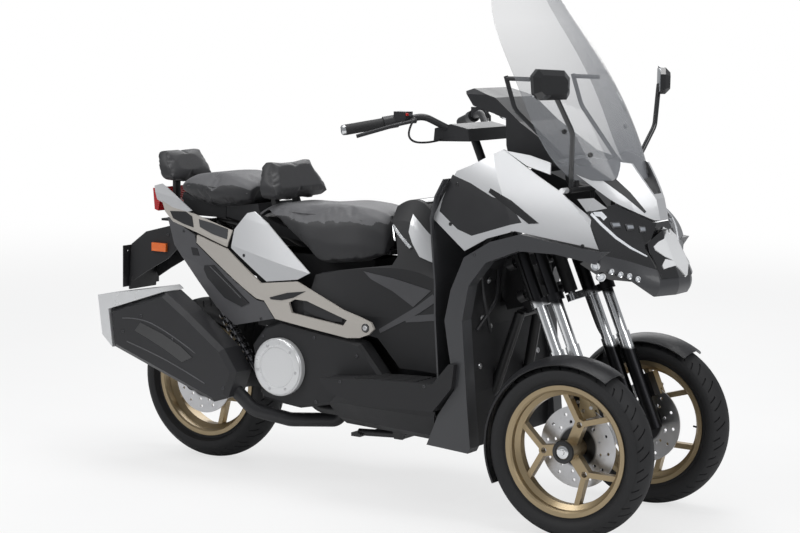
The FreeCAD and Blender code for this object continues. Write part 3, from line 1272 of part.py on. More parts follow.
dash_shares = [(0.644, 1.345), (0.656, 1.354), (0.700, 1.328), (0.745, 1.255), (0.820, 1.160),
               (0.835, 1.120), (0.800, 1.105), (0.730, 1.120), (0.722, 1.180), (0.720, 1.265),
               (0.660, 1.300)]
dash_half_width = 128.0
bracket_path_shares = [(0.862, 0.60, 1.0695), (0.862, 0.60, 1.095), (0.842, 0.55, 1.140),
                       (0.762, 0.74, 1.300), (0.745, 0.74, 1.400)]
bracket_radius = 7.0
stalk_shares = [(0.862, 0.73, 1.0695), (0.862, 0.73, 1.110), (0.880, 0.95, 1.240),
                (0.866, 1.22, 1.370)]
mirror_turn = 30.0
mirror_x_share = 0.8625
mirror_y = 380.0
mirror_z_share = 1.385
mirror_outline_shares = [(-0.50, -0.30), (-0.42, -0.48), (0.30, -0.50), (0.46, -0.30),
                         (0.50, 0.28), (0.36, 0.50), (-0.34, 0.46), (-0.50, 0.22)]
mirror_width = 128.0
mirror_height = 92.0


def make_dash():
    """Dash hood, the screen's side brackets and the mirrors."""
    export("dash", pad(dash_shares, dash_half_width, pad_chamfer))
    bracket = bent_tube(stepped(bracket_path_shares), bracket_radius, tube_bend)
    top_x, top_y, top_z = bracket_path_shares[-1]
    top = V(bx(top_x), by(top_y), bz(top_z) - bracket_radius)
    pad_end = V(screen_inner_x(screen_levels[2], by(top_y)) - seat_gap, top.y, top.z)
    pad_rod = rod(top, pad_end + V(bracket_radius, 0, 0), bracket_radius)
    export("screen_brackets", both(fused([bracket, pad_rod]).cut(screen_solid(panel_gap * 10))))
    points = [V(0, sy * mirror_width, sz * mirror_height) for sy, sz in mirror_outline_shares]
    head = Part.Face(loop(points)).extrude(V(mirror_depth, 0, 0))
    front_edges = [edge for edge in head.Edges
                   if abs(edge.CenterOfMass.x - mirror_depth) < seat_gap]
    head = head.makeChamfer(mirror_depth / 2, front_edges)
    head.rotate(V(0, 0, 0), V(0, 0, 1), mirror_turn)
    head.translate(V(bx(mirror_x_share), mirror_y, bz(mirror_z_share)))
    stalk = bent_tube(stepped(stalk_shares), mirror_stalk_radius, tube_bend)
    export("mirrors", both(fused([head, stalk])))


bar_path_shares = [(0.635, 0.0, 1.195), (0.628, 0.28, 1.200), (0.585, 0.60, 1.262),
                   (0.494, 1.20, 1.217)]
cover_shares = [(0.588, 1.180), (0.590, 1.222), (0.620, 1.238), (0.652, 1.225), (0.655, 1.185)]
cover_half_width = 130.0
lever_path_shares = [(0.585, 0.76, 1.250), (0.570, 0.96, 1.238), (0.522, 1.26, 1.200)]
lever_radius = 6.0
bar_end_bore_radius = 8.0
bar_end_depth = 40.0
housing_length = 46.0
housing_radius = 21.0
reservoir_size = 44.0


def make_handlebar():
    """Bar with stem, clamp, cover, switch housings, reservoirs and levers, and the grips."""
    points = stepped(bar_path_shares)
    end = points[-1]
    way = (points[-2] - end).normalize()
    left_bar = bent_tube(points, bar_radius, tube_bend)
    clamp = column_point(0)
    stem = rod(column_point(-overrun), column_point(head_top_drop + head_tube_length),
               stem_radius)
    cover = side_prism(cover_shares, -cover_half_width, cover_half_width)
    inner_end = end + way * grip_length
    housing = rod(inner_end + way * seat_gap, inner_end + way * housing_length, housing_radius)
    lever = bent_tube(stepped(lever_path_shares), lever_radius, tube_bend)
    lever_start = stepped(lever_path_shares)[0]
    knuckle = rod(inner_end + way * housing_length / 2, lever_start, 1.5 * lever_radius)
    reservoir = Part.makeBox(reservoir_size, reservoir_size, reservoir_size * 0.7,
                             inner_end + way * housing_length - V(0, reservoir_size / 2, 0))
    pieces = [stem, cover]
    for piece in (left_bar, housing, lever, knuckle, reservoir):
        pieces += [piece, mirrored(piece)]
    bore = rod(end - way * overrun, end + way * bar_end_depth, bar_end_bore_radius)
    export("handlebar", fused(pieces).cut(bore).cut(mirrored(bore)))
    grip = rod(end, inner_end, grip_radius).cut(
        rod(end - way * overrun, inner_end + way * overrun, bar_radius + running_gap))
    export("grips", both(grip))


def make_stand():
    """The centre stand, folded back under the machine."""
    pivot = V(bx(stand_pivot_x_share), 0, stand_pivot_z)
    y = V(0, stand_half_width, 0)
    back = V(-stand_leg_length, 0, -stand_tube_radius)
    legs = [rod(pivot + y, pivot + y + back, stand_tube_radius),
            rod(pivot - y, pivot - y + back, stand_tube_radius),
            rod(pivot - y + back * 0.7, pivot + y + back * 0.7, 0.75 * stand_tube_radius),
            rod(pivot - y * 1.15, pivot + y * 1.15, stand_pin_radius + stand_tube_wall)]
    foot = Part.makeBox(3 * stand_tube_radius, 4 * stand_tube_radius, stand_tube_radius,
                        pivot + y + back - V(1.5 * stand_tube_radius, 2 * stand_tube_radius,
                                             stand_tube_radius))
    bore = rod(pivot - y * 2, pivot + y * 2, stand_pin_radius + running_gap)
    export("centre_stand", fused(legs + [foot, mirrored(foot)]).cut(bore))


fender_shares = [(0.070, 0.826), (0.070, 0.800), (-0.025, 0.775), (-0.058, 0.740),
                 (-0.066, 0.580), (-0.0705, 0.580), (-0.064, 0.745), (-0.030, 0.795),
                 (0.030, 0.826)]
fender_side_shares = [(0.066, 0.822), (0.050, 0.760), (0.020, 0.705), (-0.030, 0.650),
                      (-0.058, 0.615), (-0.066, 0.640), (-0.060, 0.742), (-0.028, 0.778),
                      (0.030, 0.822)]
tail_fender_half_width = 72.0
plate_half_width = 100.0
plate_low_share = 0.590
plate_height = 150.0
plate_wall = 4.0
plate_hole_radius = 3.5
plate_hole_spacing = 150.0
plate_hole_drop = 20.0
lamp_shares_tail = [(0.004, 0.875), (-0.004, 0.880), (-0.008, 0.955), (0.012, 0.960)]
tail_lamp_half_width = 88.0
reflector_x_share = 0.0025
reflector_size = (64.0, 10.0, 30.0)
reflector_z_share = 0.744


def make_tail():
    """Rear fender with its bare plate, the tail lamp and the side reflectors."""
    fender = side_prism(fender_shares, -tail_fender_half_width, tail_fender_half_width)
    plate = Part.makeBox(plate_wall, 2 * plate_half_width, plate_height,
                         V(rear_axle_x - plate_reach, -plate_half_width, bz(plate_low_share)))
    for side in (-1, 1):
        hole_start = V(rear_axle_x - plate_reach - overrun, side * plate_hole_spacing / 2,
                       bz(plate_low_share) + plate_height - plate_hole_drop)
        plate = plate.cut(rod(hole_start, hole_start + V(2 * overrun, 0, 0), plate_hole_radius))
    last = lower_tube_shares[6]
    last_tube = V(bx(last[0]), 0, bz(last[2]))
    room = rod(last_tube - V(0, far_y, 0), last_tube + V(0, far_y, 0),
               0.8 * frame_tube_radius + seat_gap)
    side = side_prism(fender_side_shares, tail_fender_half_width - panel_wall,
                      tail_fender_half_width)
    export("rear_fender", fused([fender, plate, side, mirrored(side)]).cut(room))
    lamp = side_prism(lamp_shares_tail, -tail_lamp_half_width, tail_lamp_half_width)
    lamp_foot = V(bx(0.006), 0, bz(tail_plate_shares[1][1]) + seat_gap)
    lamp = fused([lamp, rod(lamp_foot, V(lamp_foot.x, 0, bz(0.885)), boss_radius)])
    export("tail_lamp", lamp)
    length, depth, height = reflector_size
    block = Part.makeBox(length, depth, height,
                         V(bx(reflector_x_share) - length / 2, tail_fender_half_width + seat_gap,
                           bz(reflector_z_share) - height / 2))
    export("reflectors", both(block))


cluster_shares = [(0.900, 0.848), (0.906, 0.856), (0.952, 0.838), (0.970, 0.806),
                  (0.966, 0.790), (0.940, 0.800)]
cluster_depth = 40.0


def make_lamps():
    """The low lamp clusters under the headlamps."""
    front = nose_form(-panel_wall - seat_gap)
    body = skin(front, nose_form(-panel_wall - cluster_depth), cluster_shares)
    foot_x, foot_y, foot_z = nose_loop_shares[1]
    foot_boss = boss(foot_x, foot_z, by(foot_y) + 0.8 * small_tube_radius, front)
    export("lamp_clusters", both(fused([body, foot_boss])))


make_wheels()
make_forks()
make_tilt()
make_frame()
make_engine()
make_swingarm()
make_shocks()
make_muffler()
make_rear_body()
make_nose()
make_screen()
make_seat()
make_tunnel()
make_tub()
make_lower_body()
make_dash()
make_handlebar()
make_stand()
make_tail()
make_lamps()
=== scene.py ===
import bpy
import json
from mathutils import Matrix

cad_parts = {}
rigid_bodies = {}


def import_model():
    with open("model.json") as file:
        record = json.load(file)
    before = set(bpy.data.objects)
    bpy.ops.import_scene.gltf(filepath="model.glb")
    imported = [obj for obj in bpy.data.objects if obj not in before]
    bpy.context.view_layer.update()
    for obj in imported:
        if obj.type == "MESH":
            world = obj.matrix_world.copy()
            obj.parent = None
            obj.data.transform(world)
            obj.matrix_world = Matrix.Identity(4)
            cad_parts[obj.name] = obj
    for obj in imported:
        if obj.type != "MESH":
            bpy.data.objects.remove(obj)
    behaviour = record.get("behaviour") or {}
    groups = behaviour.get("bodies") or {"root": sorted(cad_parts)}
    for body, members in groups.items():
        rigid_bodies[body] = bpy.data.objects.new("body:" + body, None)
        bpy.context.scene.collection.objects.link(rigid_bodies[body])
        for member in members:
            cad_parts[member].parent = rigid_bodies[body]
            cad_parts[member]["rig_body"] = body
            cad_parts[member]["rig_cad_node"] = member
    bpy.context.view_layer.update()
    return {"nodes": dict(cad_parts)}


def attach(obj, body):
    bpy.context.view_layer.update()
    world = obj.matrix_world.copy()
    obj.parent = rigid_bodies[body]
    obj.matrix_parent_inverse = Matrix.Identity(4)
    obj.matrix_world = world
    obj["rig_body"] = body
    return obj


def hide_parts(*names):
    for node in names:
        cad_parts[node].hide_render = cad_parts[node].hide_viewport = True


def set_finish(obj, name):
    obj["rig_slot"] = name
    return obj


bl_info = {
    "name": "Three-wheeled scooter dresser",
    "version": (1, 0, 0),
    "blender": (4, 5, 0),
    "location": "View3D > Sidebar > Scooter",
    "description": "Dresses the packed three-wheeled scooter with finishes, pads and small parts",
    "category": "Object",
}

import json
import math

import bmesh
import bpy
import numpy as np
from mathutils import Matrix, Vector

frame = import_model()
nodes = frame["nodes"]

# The machine's own frame, as the source of the part has it
tail_x = -0.95475
body_length = 2.0
front_axle = Vector((0.82525, 0.28, 0.2745))
rear_axle = Vector((-0.75475, 0.0, 0.2865))
case_centre = Vector((-0.29875, -0.2562, 0.404))

# The tyres: radius, half the width, radius at the bead and half the width there
front_tyre = (0.2745, 0.060, 0.2038, 0.0407)
rear_tyre = (0.2865, 0.080, 0.2038, 0.0527)

# How far a groove's wall stands inside its faces, and how the grooves slant, in radians a metre
groove_inset = 0.0026
groove_slant = 3.4

# The front hubs, the discs' buttons, and how far out the discs and the calipers' faces are
hub_radius = 0.036
button_count = 10
button_circle = 0.0765
disc_face = 0.2295
caliper_face = 0.238

# How long the pads' cloth runs, in frames, and how hard it is blown up
cloth_frames = 20
cloth_pressure = 4.0

# How far right a place lies where only its side view is given
beside = -0.3


def at(sx, sz, y=0.0):
    """A place given as shares of the body's length and metres above the floor."""
    return Vector((tail_x + sx * body_length, y, sz))


# Sizes and colours that a user would change

def colour(name, description, value):
    """A colour property."""
    return bpy.props.FloatVectorProperty(name=name, description=description, default=value,
                                         subtype="COLOR", size=3, min=0.0, max=1.0)


def length(name, description, value):
    """A length property, in metres."""
    return bpy.props.FloatProperty(name=name, description=description, default=value,
                                   unit="LENGTH", subtype="DISTANCE")


def count(name, description, value):
    """A whole-number property."""
    return bpy.props.IntProperty(name=name, description=description, default=value, min=1)


class ScooterColours(bpy.types.PropertyGroup):
    """Colours of the paint, plastic, seat, wheels and lamps."""
    panel: colour("Body panels", "Silver paint of the fairings, hood and side panels",
                  (0.62, 0.625, 0.635))
    trim: colour("Frame trims", "Warm grey paint of the side frames and grab rails",
                 (0.500, 0.470, 0.430))
    star: colour("Nose star", "Light silver of the star-shaped nose panel", (0.84, 0.845, 0.85))
    arch: colour("Arch surrounds", "Dark grey satin paint round the front arch",
                 (0.052, 0.053, 0.057))
    plastic: colour("Black plastic", "Grained plastic of the lower body", (0.016, 0.016, 0.0175))
    frame: colour("Frame", "Satin black paint of tubes and arms", (0.016, 0.016, 0.017))
    wheel: colour("Wheels", "Bronze-gold paint of the rims", (0.40, 0.31, 0.185))
    seat_side: colour("Seat sides", "Smooth vinyl of the seat's sides", (0.026, 0.026, 0.028))
    # Seat top: grained vinyl, painted lighter than the sides for the light that falls on it from
    # above
    painted_lit_seat_top: colour("Seat top", "Grained vinyl that the riders sit on", (0.105, 0.105, 0.110))
    tyre: colour("Tyres", "Rubber of the tyres", (0.017, 0.017, 0.018))
    amber: colour("Reflectors", "Orange side reflectors", (0.85, 0.16, 0.015))
    tail: colour("Tail lamp", "Red tail lamp lens", (0.42, 0.008, 0.010))
    screen: colour("Screen", "Light smoke tint of the screen", (0.30, 0.31, 0.33))


class ScooterSizes(bpy.types.PropertyGroup):
    """Sizes of the small parts that are modelled here."""
    groove_depth: length("Groove depth", "Depth of the tread grooves", 0.0045)
    groove_steps: count("Tread steps", "Steps round a tyre", 150)
    seam_radius: length("Piping radius", "Radius of the seat's piping", 0.0018)
    swell_cap: length("Padding swell", "How far a pad's skin may swell", 0.008)
    voxel: length("Padding voxel", "Voxel size of the pads", 0.0055)
    bolt_radius: length("Bolt radius", "Head radius of the body screws", 0.0055)


# Materials, written as sums on wires

class Wire:
    """One output of a node, so that sums on it read as sums."""

    def __init__(self, recipe, socket):
        self.recipe = recipe
        self.socket = socket

    def math(self, operation, first, second):
        """A Math node between two values or wires."""
        return self.recipe.node("ShaderNodeMath", {"operation": operation},
                                {0: first, 1: second})

    def __add__(self, other):
        return self.math("ADD", self, other)

    def __radd__(self, other):
        return self.math("ADD", other, self)

    def __sub__(self, other):
        return self.math("SUBTRACT", self, other)

    def __rsub__(self, other):
        return self.math("SUBTRACT", other, self)

    def __mul__(self, other):
        return self.math("MULTIPLY", self, other)

    def __rmul__(self, other):
        return self.math("MULTIPLY", other, self)

    def __pow__(self, other):
        return self.math("POWER", self, other)

    def __abs__(self):
        return self.recipe.node("ShaderNodeMath", {"operation": "ABSOLUTE"}, {0: self})

    def sine(self):
        """Its sine, for fine rings and ribs."""
        return self.recipe.node("ShaderNodeMath", {"operation": "SINE"}, {0: self})

    def above(self, limit):
        """1 where it is over a limit, otherwise 0."""
        return self.math("GREATER_THAN", self, limit)

    def below(self, limit):
        """1 where it is under a limit, otherwise 0."""
        return self.math("LESS_THAN", self, limit)


class Recipe:
    """The nodes of one material."""

    def __init__(self, name):
        self.material = bpy.data.materials.new(name)
        self.material.use_nodes = True
        self.tree = self.material.node_tree
        self.tree.nodes.clear()
        self.place = self.node("ShaderNodeTexCoord", {}, {}, "Object")

    def node(self, kind, settings, sockets, output=0):
        """Adds a node with its settings, then its sockets' values or links."""
        made = self.tree.nodes.new(kind)
        for name, value in settings.items():
            if name == "stops":
                for number, (spot, shade) in enumerate(value):
                    ramp = made.color_ramp.elements
                    stop = ramp[number] if number < 2 else ramp.new(spot)
                    stop.position = spot
                    stop.color = tuple(shade) + (1.0,)
            else:
                setattr(made, name, value)
        for key, value in sockets.items():
            socket = made.inputs[key]
            if isinstance(value, Wire):
                self.tree.links.new(value.socket, socket)
            elif socket.type == "RGBA":
                socket.default_value = tuple(value)[:3] + (1.0,)
            else:
                socket.default_value = value
        return Wire(self, made.outputs[output]) if made.outputs else None

    def noise(self, scale, detail=2.0, roughness=0.5, place=None):
        """Smooth noise, from 0 to 1."""
        return self.node("ShaderNodeTexNoise", {}, {
            "Vector": place or self.place, "Scale": scale, "Detail": detail,
            "Roughness": roughness})

    def cells(self, scale, feature="F1", place=None):
        """Distance to the nearest cell point."""
        return self.node("ShaderNodeTexVoronoi", {"feature": feature}, {
            "Vector": place or self.place, "Scale": scale}, "Distance")

    def blend(self, share, first, second):
        """A mix of two colours."""
        return self.node("ShaderNodeMix", {"data_type": "RGBA"},
                         {0: share, 6: first, 7: second}, 2)

    def ramp(self, value, stops):
        """A colour ramp over a value."""
        return self.node("ShaderNodeValToRGB", {"stops": stops}, {0: value})

    def axis(self, letter, place=None):
        """One coordinate of a place."""
        return self.node("ShaderNodeSeparateXYZ", {}, {0: place or self.place}, letter)

    def bump(self, height, strength, distance):
        """A bumped normal."""
        return self.node("ShaderNodeBump", {}, {
            "Height": height, "Strength": strength, "Distance": distance})

    def finish(self, **sockets):
        """The Principled shader, from its sockets' names with underscores for spaces."""
        shader = self.node("ShaderNodeBsdfPrincipled", {}, {
            name.replace("_", " "): value for name, value in sockets.items()})
        self.node("ShaderNodeOutputMaterial", {}, {0: shader})
        return self.material


def shades(tone, low, high):
    """A colour made darker and lighter by two factors."""
    return tuple(c * low for c in tone), tuple(min(1.0, c * high) for c in tone)


def painted(name, tone, metallic=0.35, roughness=0.30, coat=0.7):
    """Sprayed paint with fine flake, a soft orange peel and a clear coat."""
    mix = Recipe(name)
    dull, bright = shades(tone, 0.94, 1.05)
    flake = mix.blend(mix.noise(900.0, 3.0), dull, bright)
    haze = mix.noise(6.0, 4.0) * 0.08 + (roughness - 0.04)
    peel = mix.bump(mix.noise(260.0, 1.0), 0.05, 0.0006)
    return mix.finish(Base_Color=flake, Metallic=metallic, Roughness=haze, Normal=peel,
                      Coat_Weight=coat, Coat_Roughness=0.06)


def grained(name, tone, roughness=0.55, grain=900.0, strength=0.25):
    """Moulded plastic with a leather-like grain and slight scuffs."""
    mix = Recipe(name)
    dull, bright = shades(tone, 0.86, 1.22)
    scuffs = mix.noise(14.0, 6.0, 0.65)
    base = mix.blend(scuffs, dull, bright)
    rough = scuffs * 0.16 + (roughness - 0.08)
    pits = mix.cells(grain, "SMOOTH_F1") + mix.noise(grain * 0.7, 2.0) * 0.6
    return mix.finish(Base_Color=base, Roughness=rough, Normal=mix.bump(pits, strength, 0.0005),
                      Specular_IOR_Level=0.45)


def gloss(name, tone, roughness=0.10):
    """Polished black plastic."""
    mix = Recipe(name)
    dull, bright = shades(tone, 0.9, 1.1)
    base = mix.blend(mix.noise(30.0), dull, bright)
    return mix.finish(Base_Color=base, Roughness=mix.noise(9.0, 4.0) * 0.08 + roughness,
                      Coat_Weight=0.8, Coat_Roughness=0.04)


def vinyl(name, tone, roughness, grain, strength):
    """Seat vinyl: pebbled grain, fine creases and worn, shinier patches."""
    mix = Recipe(name)
    dull, bright = shades(tone, 0.82, 1.18)
    wear = mix.noise(7.0, 5.0, 0.6)
    pebbles = mix.cells(grain, "SMOOTH_F1")
    base = mix.blend(wear, dull, bright)
    height = pebbles + mix.noise(45.0, 3.0) * 0.35
    return mix.finish(Base_Color=base, Roughness=roughness - wear * 0.12,
                      Normal=mix.bump(height, strength, 0.0009), Sheen_Weight=0.12,
                      Sheen_Roughness=0.4)


def metal(name, tone, roughness, grain=0.0, streak=0.0):
    """Bare or plated metal, with a cast grain or fine drawn streaks."""
    mix = Recipe(name)
    dull, bright = shades(tone, 0.88, 1.08)
    patches = mix.noise(22.0, 5.0, 0.6)
    place = mix.place
    if streak:
        place = mix.node("ShaderNodeMapping", {}, {"Vector": mix.place,
                                                   "Scale": (1.0, 1.0, streak)})
    grit = mix.noise(700.0 if grain else 1400.0, 3.0, 0.6, place)
    return mix.finish(Base_Color=mix.blend(patches, dull, bright), Metallic=1.0,
                      Roughness=patches * 0.14 + (roughness - 0.05),
                      Normal=mix.bump(grit, grain or 0.08, 0.0006))


def ring_distance(mix, centre):
    """How far a place lies from a wheel's axle line."""
    across = mix.axis("X") - centre.x
    up = mix.axis("Z") - centre.z
    return (across * across + up * up) ** 0.5


def rubber(name, tone, centre):
    """Tyre rubber: fine rings on the sidewall, dusty crown, dull and slightly blotched."""
    mix = Recipe(name)
    dull, bright = shades(tone, 0.80, 1.35)
    reach = ring_distance(mix, centre)
    rings = (reach * 2600.0).sine()
    dust = mix.noise(18.0, 6.0, 0.7)
    height = rings * 0.5 + mix.noise(500.0, 3.0)
    return mix.finish(Base_Color=mix.blend(dust, dull, bright), Roughness=dust * 0.15 + 0.58,
                      Normal=mix.bump(height, 0.22, 0.0006), Specular_IOR_Level=0.4)


def ground_disc(name, tone, centre):
    """Brake disc steel, ground in rings, darker near its carrier."""
    mix = Recipe(name)
    reach = ring_distance(mix, centre)
    rings = (reach * 5200.0).sine()
    carrier = mix.ramp(reach * 5.0, [(0.30, (0.05, 0.05, 0.052)), (0.34, tone)])
    return mix.finish(Base_Color=carrier, Metallic=1.0, Roughness=mix.noise(40.0) * 0.2 + 0.22,
                      Normal=mix.bump(rings + mix.noise(900.0), 0.12, 0.0004))


def fork_finish(name):
    """Polished tubes in the middle, dark legs above and below, and bronze caliper bodies."""
    mix = Recipe(name)
    height = mix.axis("Z")
    along = mix.axis("X")
    dark = (0.022, 0.022, 0.024)
    tube_shade = mix.ramp(height, [(0.525, dark), (0.535, (0.78, 0.79, 0.80)),
                                   (0.695, (0.74, 0.75, 0.76)), (0.705, dark)])
    between = height.below(0.475) * height.above(0.330)
    caliper = between * along.above(0.836) * abs(mix.axis("Y")).above(0.2165)
    base = mix.blend(caliper, tube_shade, (0.52, 0.42, 0.26))
    polish = mix.ramp(height, [(0.525, (0.34, 0.34, 0.34)), (0.535, (0.12, 0.12, 0.12)),
                               (0.695, (0.14, 0.14, 0.14)), (0.705, (0.36, 0.36, 0.36))])
    grit = mix.noise(900.0, 2.0)
    return mix.finish(Base_Color=base, Metallic=0.9, Roughness=polish + caliper * 0.18,
                      Normal=mix.bump(grit, 0.08, 0.0005))


def smoke_sheet(name, tone):
    """The screen's tinted sheet, denser towards its foot and its edges."""
    mix = Recipe(name)
    height = mix.axis("Z")
    depth = mix.ramp(height - 0.95, [(0.14, (0.62, 0.62, 0.62)), (0.30, (0.36, 0.36, 0.36)),
                                     (0.62, (0.13, 0.13, 0.13))])
    edge = mix.node("ShaderNodeLayerWeight", {}, {"Blend": 0.35}, "Facing")
    alpha = mix.node("ShaderNodeMath", {"operation": "ADD", "use_clamp": True},
                     {0: depth, 1: edge * 0.30})
    dull, bright = shades(tone, 0.95, 1.05)
    base = mix.blend(mix.noise(4.0), dull, bright)
    return mix.finish(Base_Color=base, Roughness=mix.noise(12.0, 3.0) * 0.03 + 0.03,
                      Alpha=alpha, Coat_Weight=0.5, Coat_Roughness=0.02)


def lens(name, tone, ribs=900.0, roughness=0.10, painted_glow=0.0):
    """A moulded lens with fine ribs and a glossy face, and a slight painted glow, as no lamp is
    lit.
    """
    mix = Recipe(name)
    dull, bright = shades(tone, 0.75, 1.15)
    wave = (mix.axis("Z") * ribs).sine()
    base = mix.blend(wave * 0.5 + 0.5, dull, bright)
    return mix.finish(Base_Color=base, Roughness=mix.noise(20.0) * 0.06 + roughness,
                      Normal=mix.bump(wave, 0.35, 0.0012), Coat_Weight=1.0,
                      Coat_Roughness=0.03, Emission_Color=base, Emission_Strength=painted_glow)


def make_finishes():
    """Every finish on the machine, by name."""
    tones = bpy.context.scene.scooter_colours
    steel = (0.62, 0.62, 0.63)
    made = {
        "panel": painted("silver_panel_paint", tones.panel),
        "star": painted("light_star_paint", tones.star, 0.10, 0.26, 0.6),
        "trim": painted("warm_grey_trim_paint", tones.trim, 0.20, 0.42, 0.2),
        "arch": painted("satin_arch_paint", tones.arch, 0.15, 0.40, 0.25),
        "plastic": grained("black_moulded_plastic", tones.plastic),
        "smooth_plastic": grained("smooth_black_plastic", (0.022, 0.022, 0.024), 0.40, 1400.0,
                                  0.12),
        "grey_plastic": grained("grey_moulded_plastic", (0.080, 0.080, 0.085), 0.42, 1100.0,
                                0.18),
        "gloss": gloss("gloss_black_plastic", (0.012, 0.012, 0.013)),
        "console": gloss("smoked_grey_console", (0.085, 0.086, 0.090), 0.18),
        "frame": painted("satin_black_frame_paint", tones.frame, 0.0, 0.42, 0.15),
        "wheel": painted("bronze_wheel_paint", tones.wheel, 0.75, 0.34, 0.3),
        "fork": fork_finish("fork_legs_and_calipers"),
        "bright": metal("polished_metal", (0.78, 0.79, 0.80), 0.12),
        "dark_alloy": metal("dark_cast_alloy", (0.10, 0.10, 0.105), 0.42, 0.35),
        "cap": painted("silver_case_cap_paint", (0.74, 0.745, 0.75), 0.30, 0.28, 0.5),
        "steel": metal("zinc_screw_steel", steel, 0.28),
        "spring": metal("spring_steel", (0.20, 0.20, 0.21), 0.25),
        "seat_side": vinyl("seat_side_vinyl", tones.seat_side, 0.56, 700.0, 0.25),
        # The seat top's vinyl: real grain, with a lighter colour that is painted light from above
        "painted_lit_seat_top": vinyl("seat_top_vinyl", tones.painted_lit_seat_top, 0.60, 420.0, 0.55),
        "piping": vinyl("seat_piping", (0.085, 0.085, 0.088), 0.5, 1200.0, 0.3),
        "grip": grained("grip_rubber", (0.020, 0.020, 0.021), 0.62, 500.0, 0.6),
        "screen": smoke_sheet("smoke_screen", tones.screen),
        # The amber reflectors, the tail lamp and the light bars get a slight painted glow
        "amber": lens("amber_reflector_lens", tones.amber, 1500.0, 0.15, 0.10),
        "tail": lens("red_tail_lens", tones.tail, 900.0, 0.08, 0.10),
        "lamp_dark": gloss("lamp_housing_black", (0.010, 0.010, 0.011), 0.12),
        "light_bar": lens("white_light_bar", (0.74, 0.76, 0.79), 1800.0, 0.12, 0.18),
        "lamp_glass": lens("lamp_module_glass", (0.30, 0.32, 0.35), 1500.0, 0.06),
        "mirror": metal("mirror_glass", (0.80, 0.82, 0.84), 0.03),
        "red": gloss("red_switch", (0.55, 0.015, 0.012), 0.22),
        "dial": gloss("dial_face", (0.015, 0.018, 0.024), 0.08),
        "plate": painted("bare_plate", (0.62, 0.62, 0.60), 0.0, 0.5, 0.1),
    }
    for name, centre in (("front_left", front_axle), ("front_right", front_axle),
                         ("rear", rear_axle)):
        made["tyre_" + name] = rubber("tyre_rubber_" + name, tones.tyre, centre)
        made["disc_" + name] = ground_disc("ground_disc_" + name, steel, centre)
    return made


node_finishes = {
    "panel": ["side_panels", "tail_cowl", "fairings", "hood"],
    "trim": ["frame_trims", "grab_rails"],
    "arch": ["arch_surrounds", "chin", "leg_shields"],
    "grey_plastic": ["tail_skirts"],
    "plastic": ["footboards", "belly_pan", "arch_liner", "underseat_tub",
                "rear_fender", "tunnel", "case_covers"],
    "smooth_plastic": ["fairing_inserts", "muffler", "dash", "handlebar", "seat_base",
                       "screen_brackets", "fender_left", "fender_right"],
    "gloss": ["cheeks", "mirrors", "beak"],
    "console": ["fuel_lid"],
    "frame": ["frame", "tilt_arms", "uprights", "swingarm", "centre_stand"],
    "wheel": ["rim_front_left", "rim_front_right", "rim_rear"],
    "fork": ["fork_left", "fork_right"],
    "spring": ["rear_shocks"],
    "dark_alloy": ["engine_block"],
    "cap": ["case_cap", "muffler_cap"],
    "grip": ["grips"],
    "screen": ["windscreen"],
    "amber": ["reflectors"],
    "tail": ["tail_lamp"],
    "lamp_dark": ["headlamps", "lamp_clusters"],
    "seat_side": ["rider_seat", "pillion_seat", "rider_backrest", "pillion_backrest"],
}


# The finishes, by name, once they are made
painter = {}


# Mesh tools

def clear_selection():
    """Leaves edit mode and deselects everything."""
    if bpy.context.object and bpy.context.object.mode != "OBJECT":
        bpy.ops.object.mode_set(mode="OBJECT")
    bpy.ops.object.select_all(action="DESELECT")


def only(piece):
    """Selects one object and makes it active."""
    clear_selection()
    piece.select_set(True)
    bpy.context.view_layer.objects.active = piece
    return piece


def settle(piece, name, finish, body, slot=None):
    """Puts a piece's place in its mesh, names and paints it, and makes it ride on a body."""
    only(piece)
    bpy.ops.object.transform_apply(location=True, rotation=True, scale=True)
    piece.name = name
    piece.data.name = name
    if finish is not None:
        piece.data.materials.clear()
        piece.data.materials.append(finish)
    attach(piece, body)
    if slot:
        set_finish(piece, slot)
    return piece


def smooth(piece, degrees=35.0):
    """Smooth shading, with edges sharper than an angle left sharp."""
    only(piece)
    bpy.ops.object.shade_smooth_by_angle(angle=math.radians(degrees))


def apply_modifier(piece, kind, **settings):
    """Adds a modifier and applies it."""
    only(piece)
    modifier = piece.modifiers.new(kind.title(), kind)
    for name, value in settings.items():
        setattr(modifier, name, value)
    bpy.ops.object.modifier_apply(modifier=modifier.name)


def join(pieces):
    """Joins pieces into the first of them."""
    clear_selection()
    for piece in pieces:
        piece.select_set(True)
    bpy.context.view_layer.objects.active = pieces[0]
    bpy.ops.object.join()
    return bpy.context.object


def copied(piece):
    """A copy of an object with its own mesh, at the same place and free of its body."""
    twin = piece.copy()
    twin.data = piece.data.copy()
    twin.parent = None
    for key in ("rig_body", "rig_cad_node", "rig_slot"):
        if key in twin:
            del twin[key]
    bpy.context.scene.collection.objects.link(twin)
    twin.hide_render = False
    twin.hide_viewport = False
    return twin


def mirrored(piece):
    """The piece's mirror image on the other side, with its faces outwards."""
    twin = copied(piece)
    twin.data.transform(Matrix.Scale(-1.0, 4, (0.0, 1.0, 0.0)))
    twin.data.flip_normals()
    return twin


from_right = Vector((0.0, 1.0, 0.0))
from_front = Vector((-1.0, 0.0, 0.0))
from_behind = Vector((1.0, 0.0, 0.0))
from_above = Vector((0.0, 0.0, -1.0))
from_ahead_right = Vector((-0.52, 0.84, -0.12)).normalized()


def surface(targets, place, way):
    """Where a line through a place first meets some nodes, and how the surface faces there.

    Where the line meets none of them, it is their point nearest to the place.
    """
    pieces = [nodes[target] if isinstance(target, str) else target for target in targets]
    start = place - way * 1.5
    best = None
    for piece in pieces:
        hit, spot, normal, _ = piece.ray_cast(start, way)
        if hit and (best is None or (spot - start).length < (best[0] - start).length):
            best = (spot, normal)
    if best is None:
        for piece in pieces:
            _, spot, normal, _ = piece.closest_point_on_mesh(place)
            if best is None or (spot - place).length < (best[0] - place).length:
                best = (spot, normal)
    return best


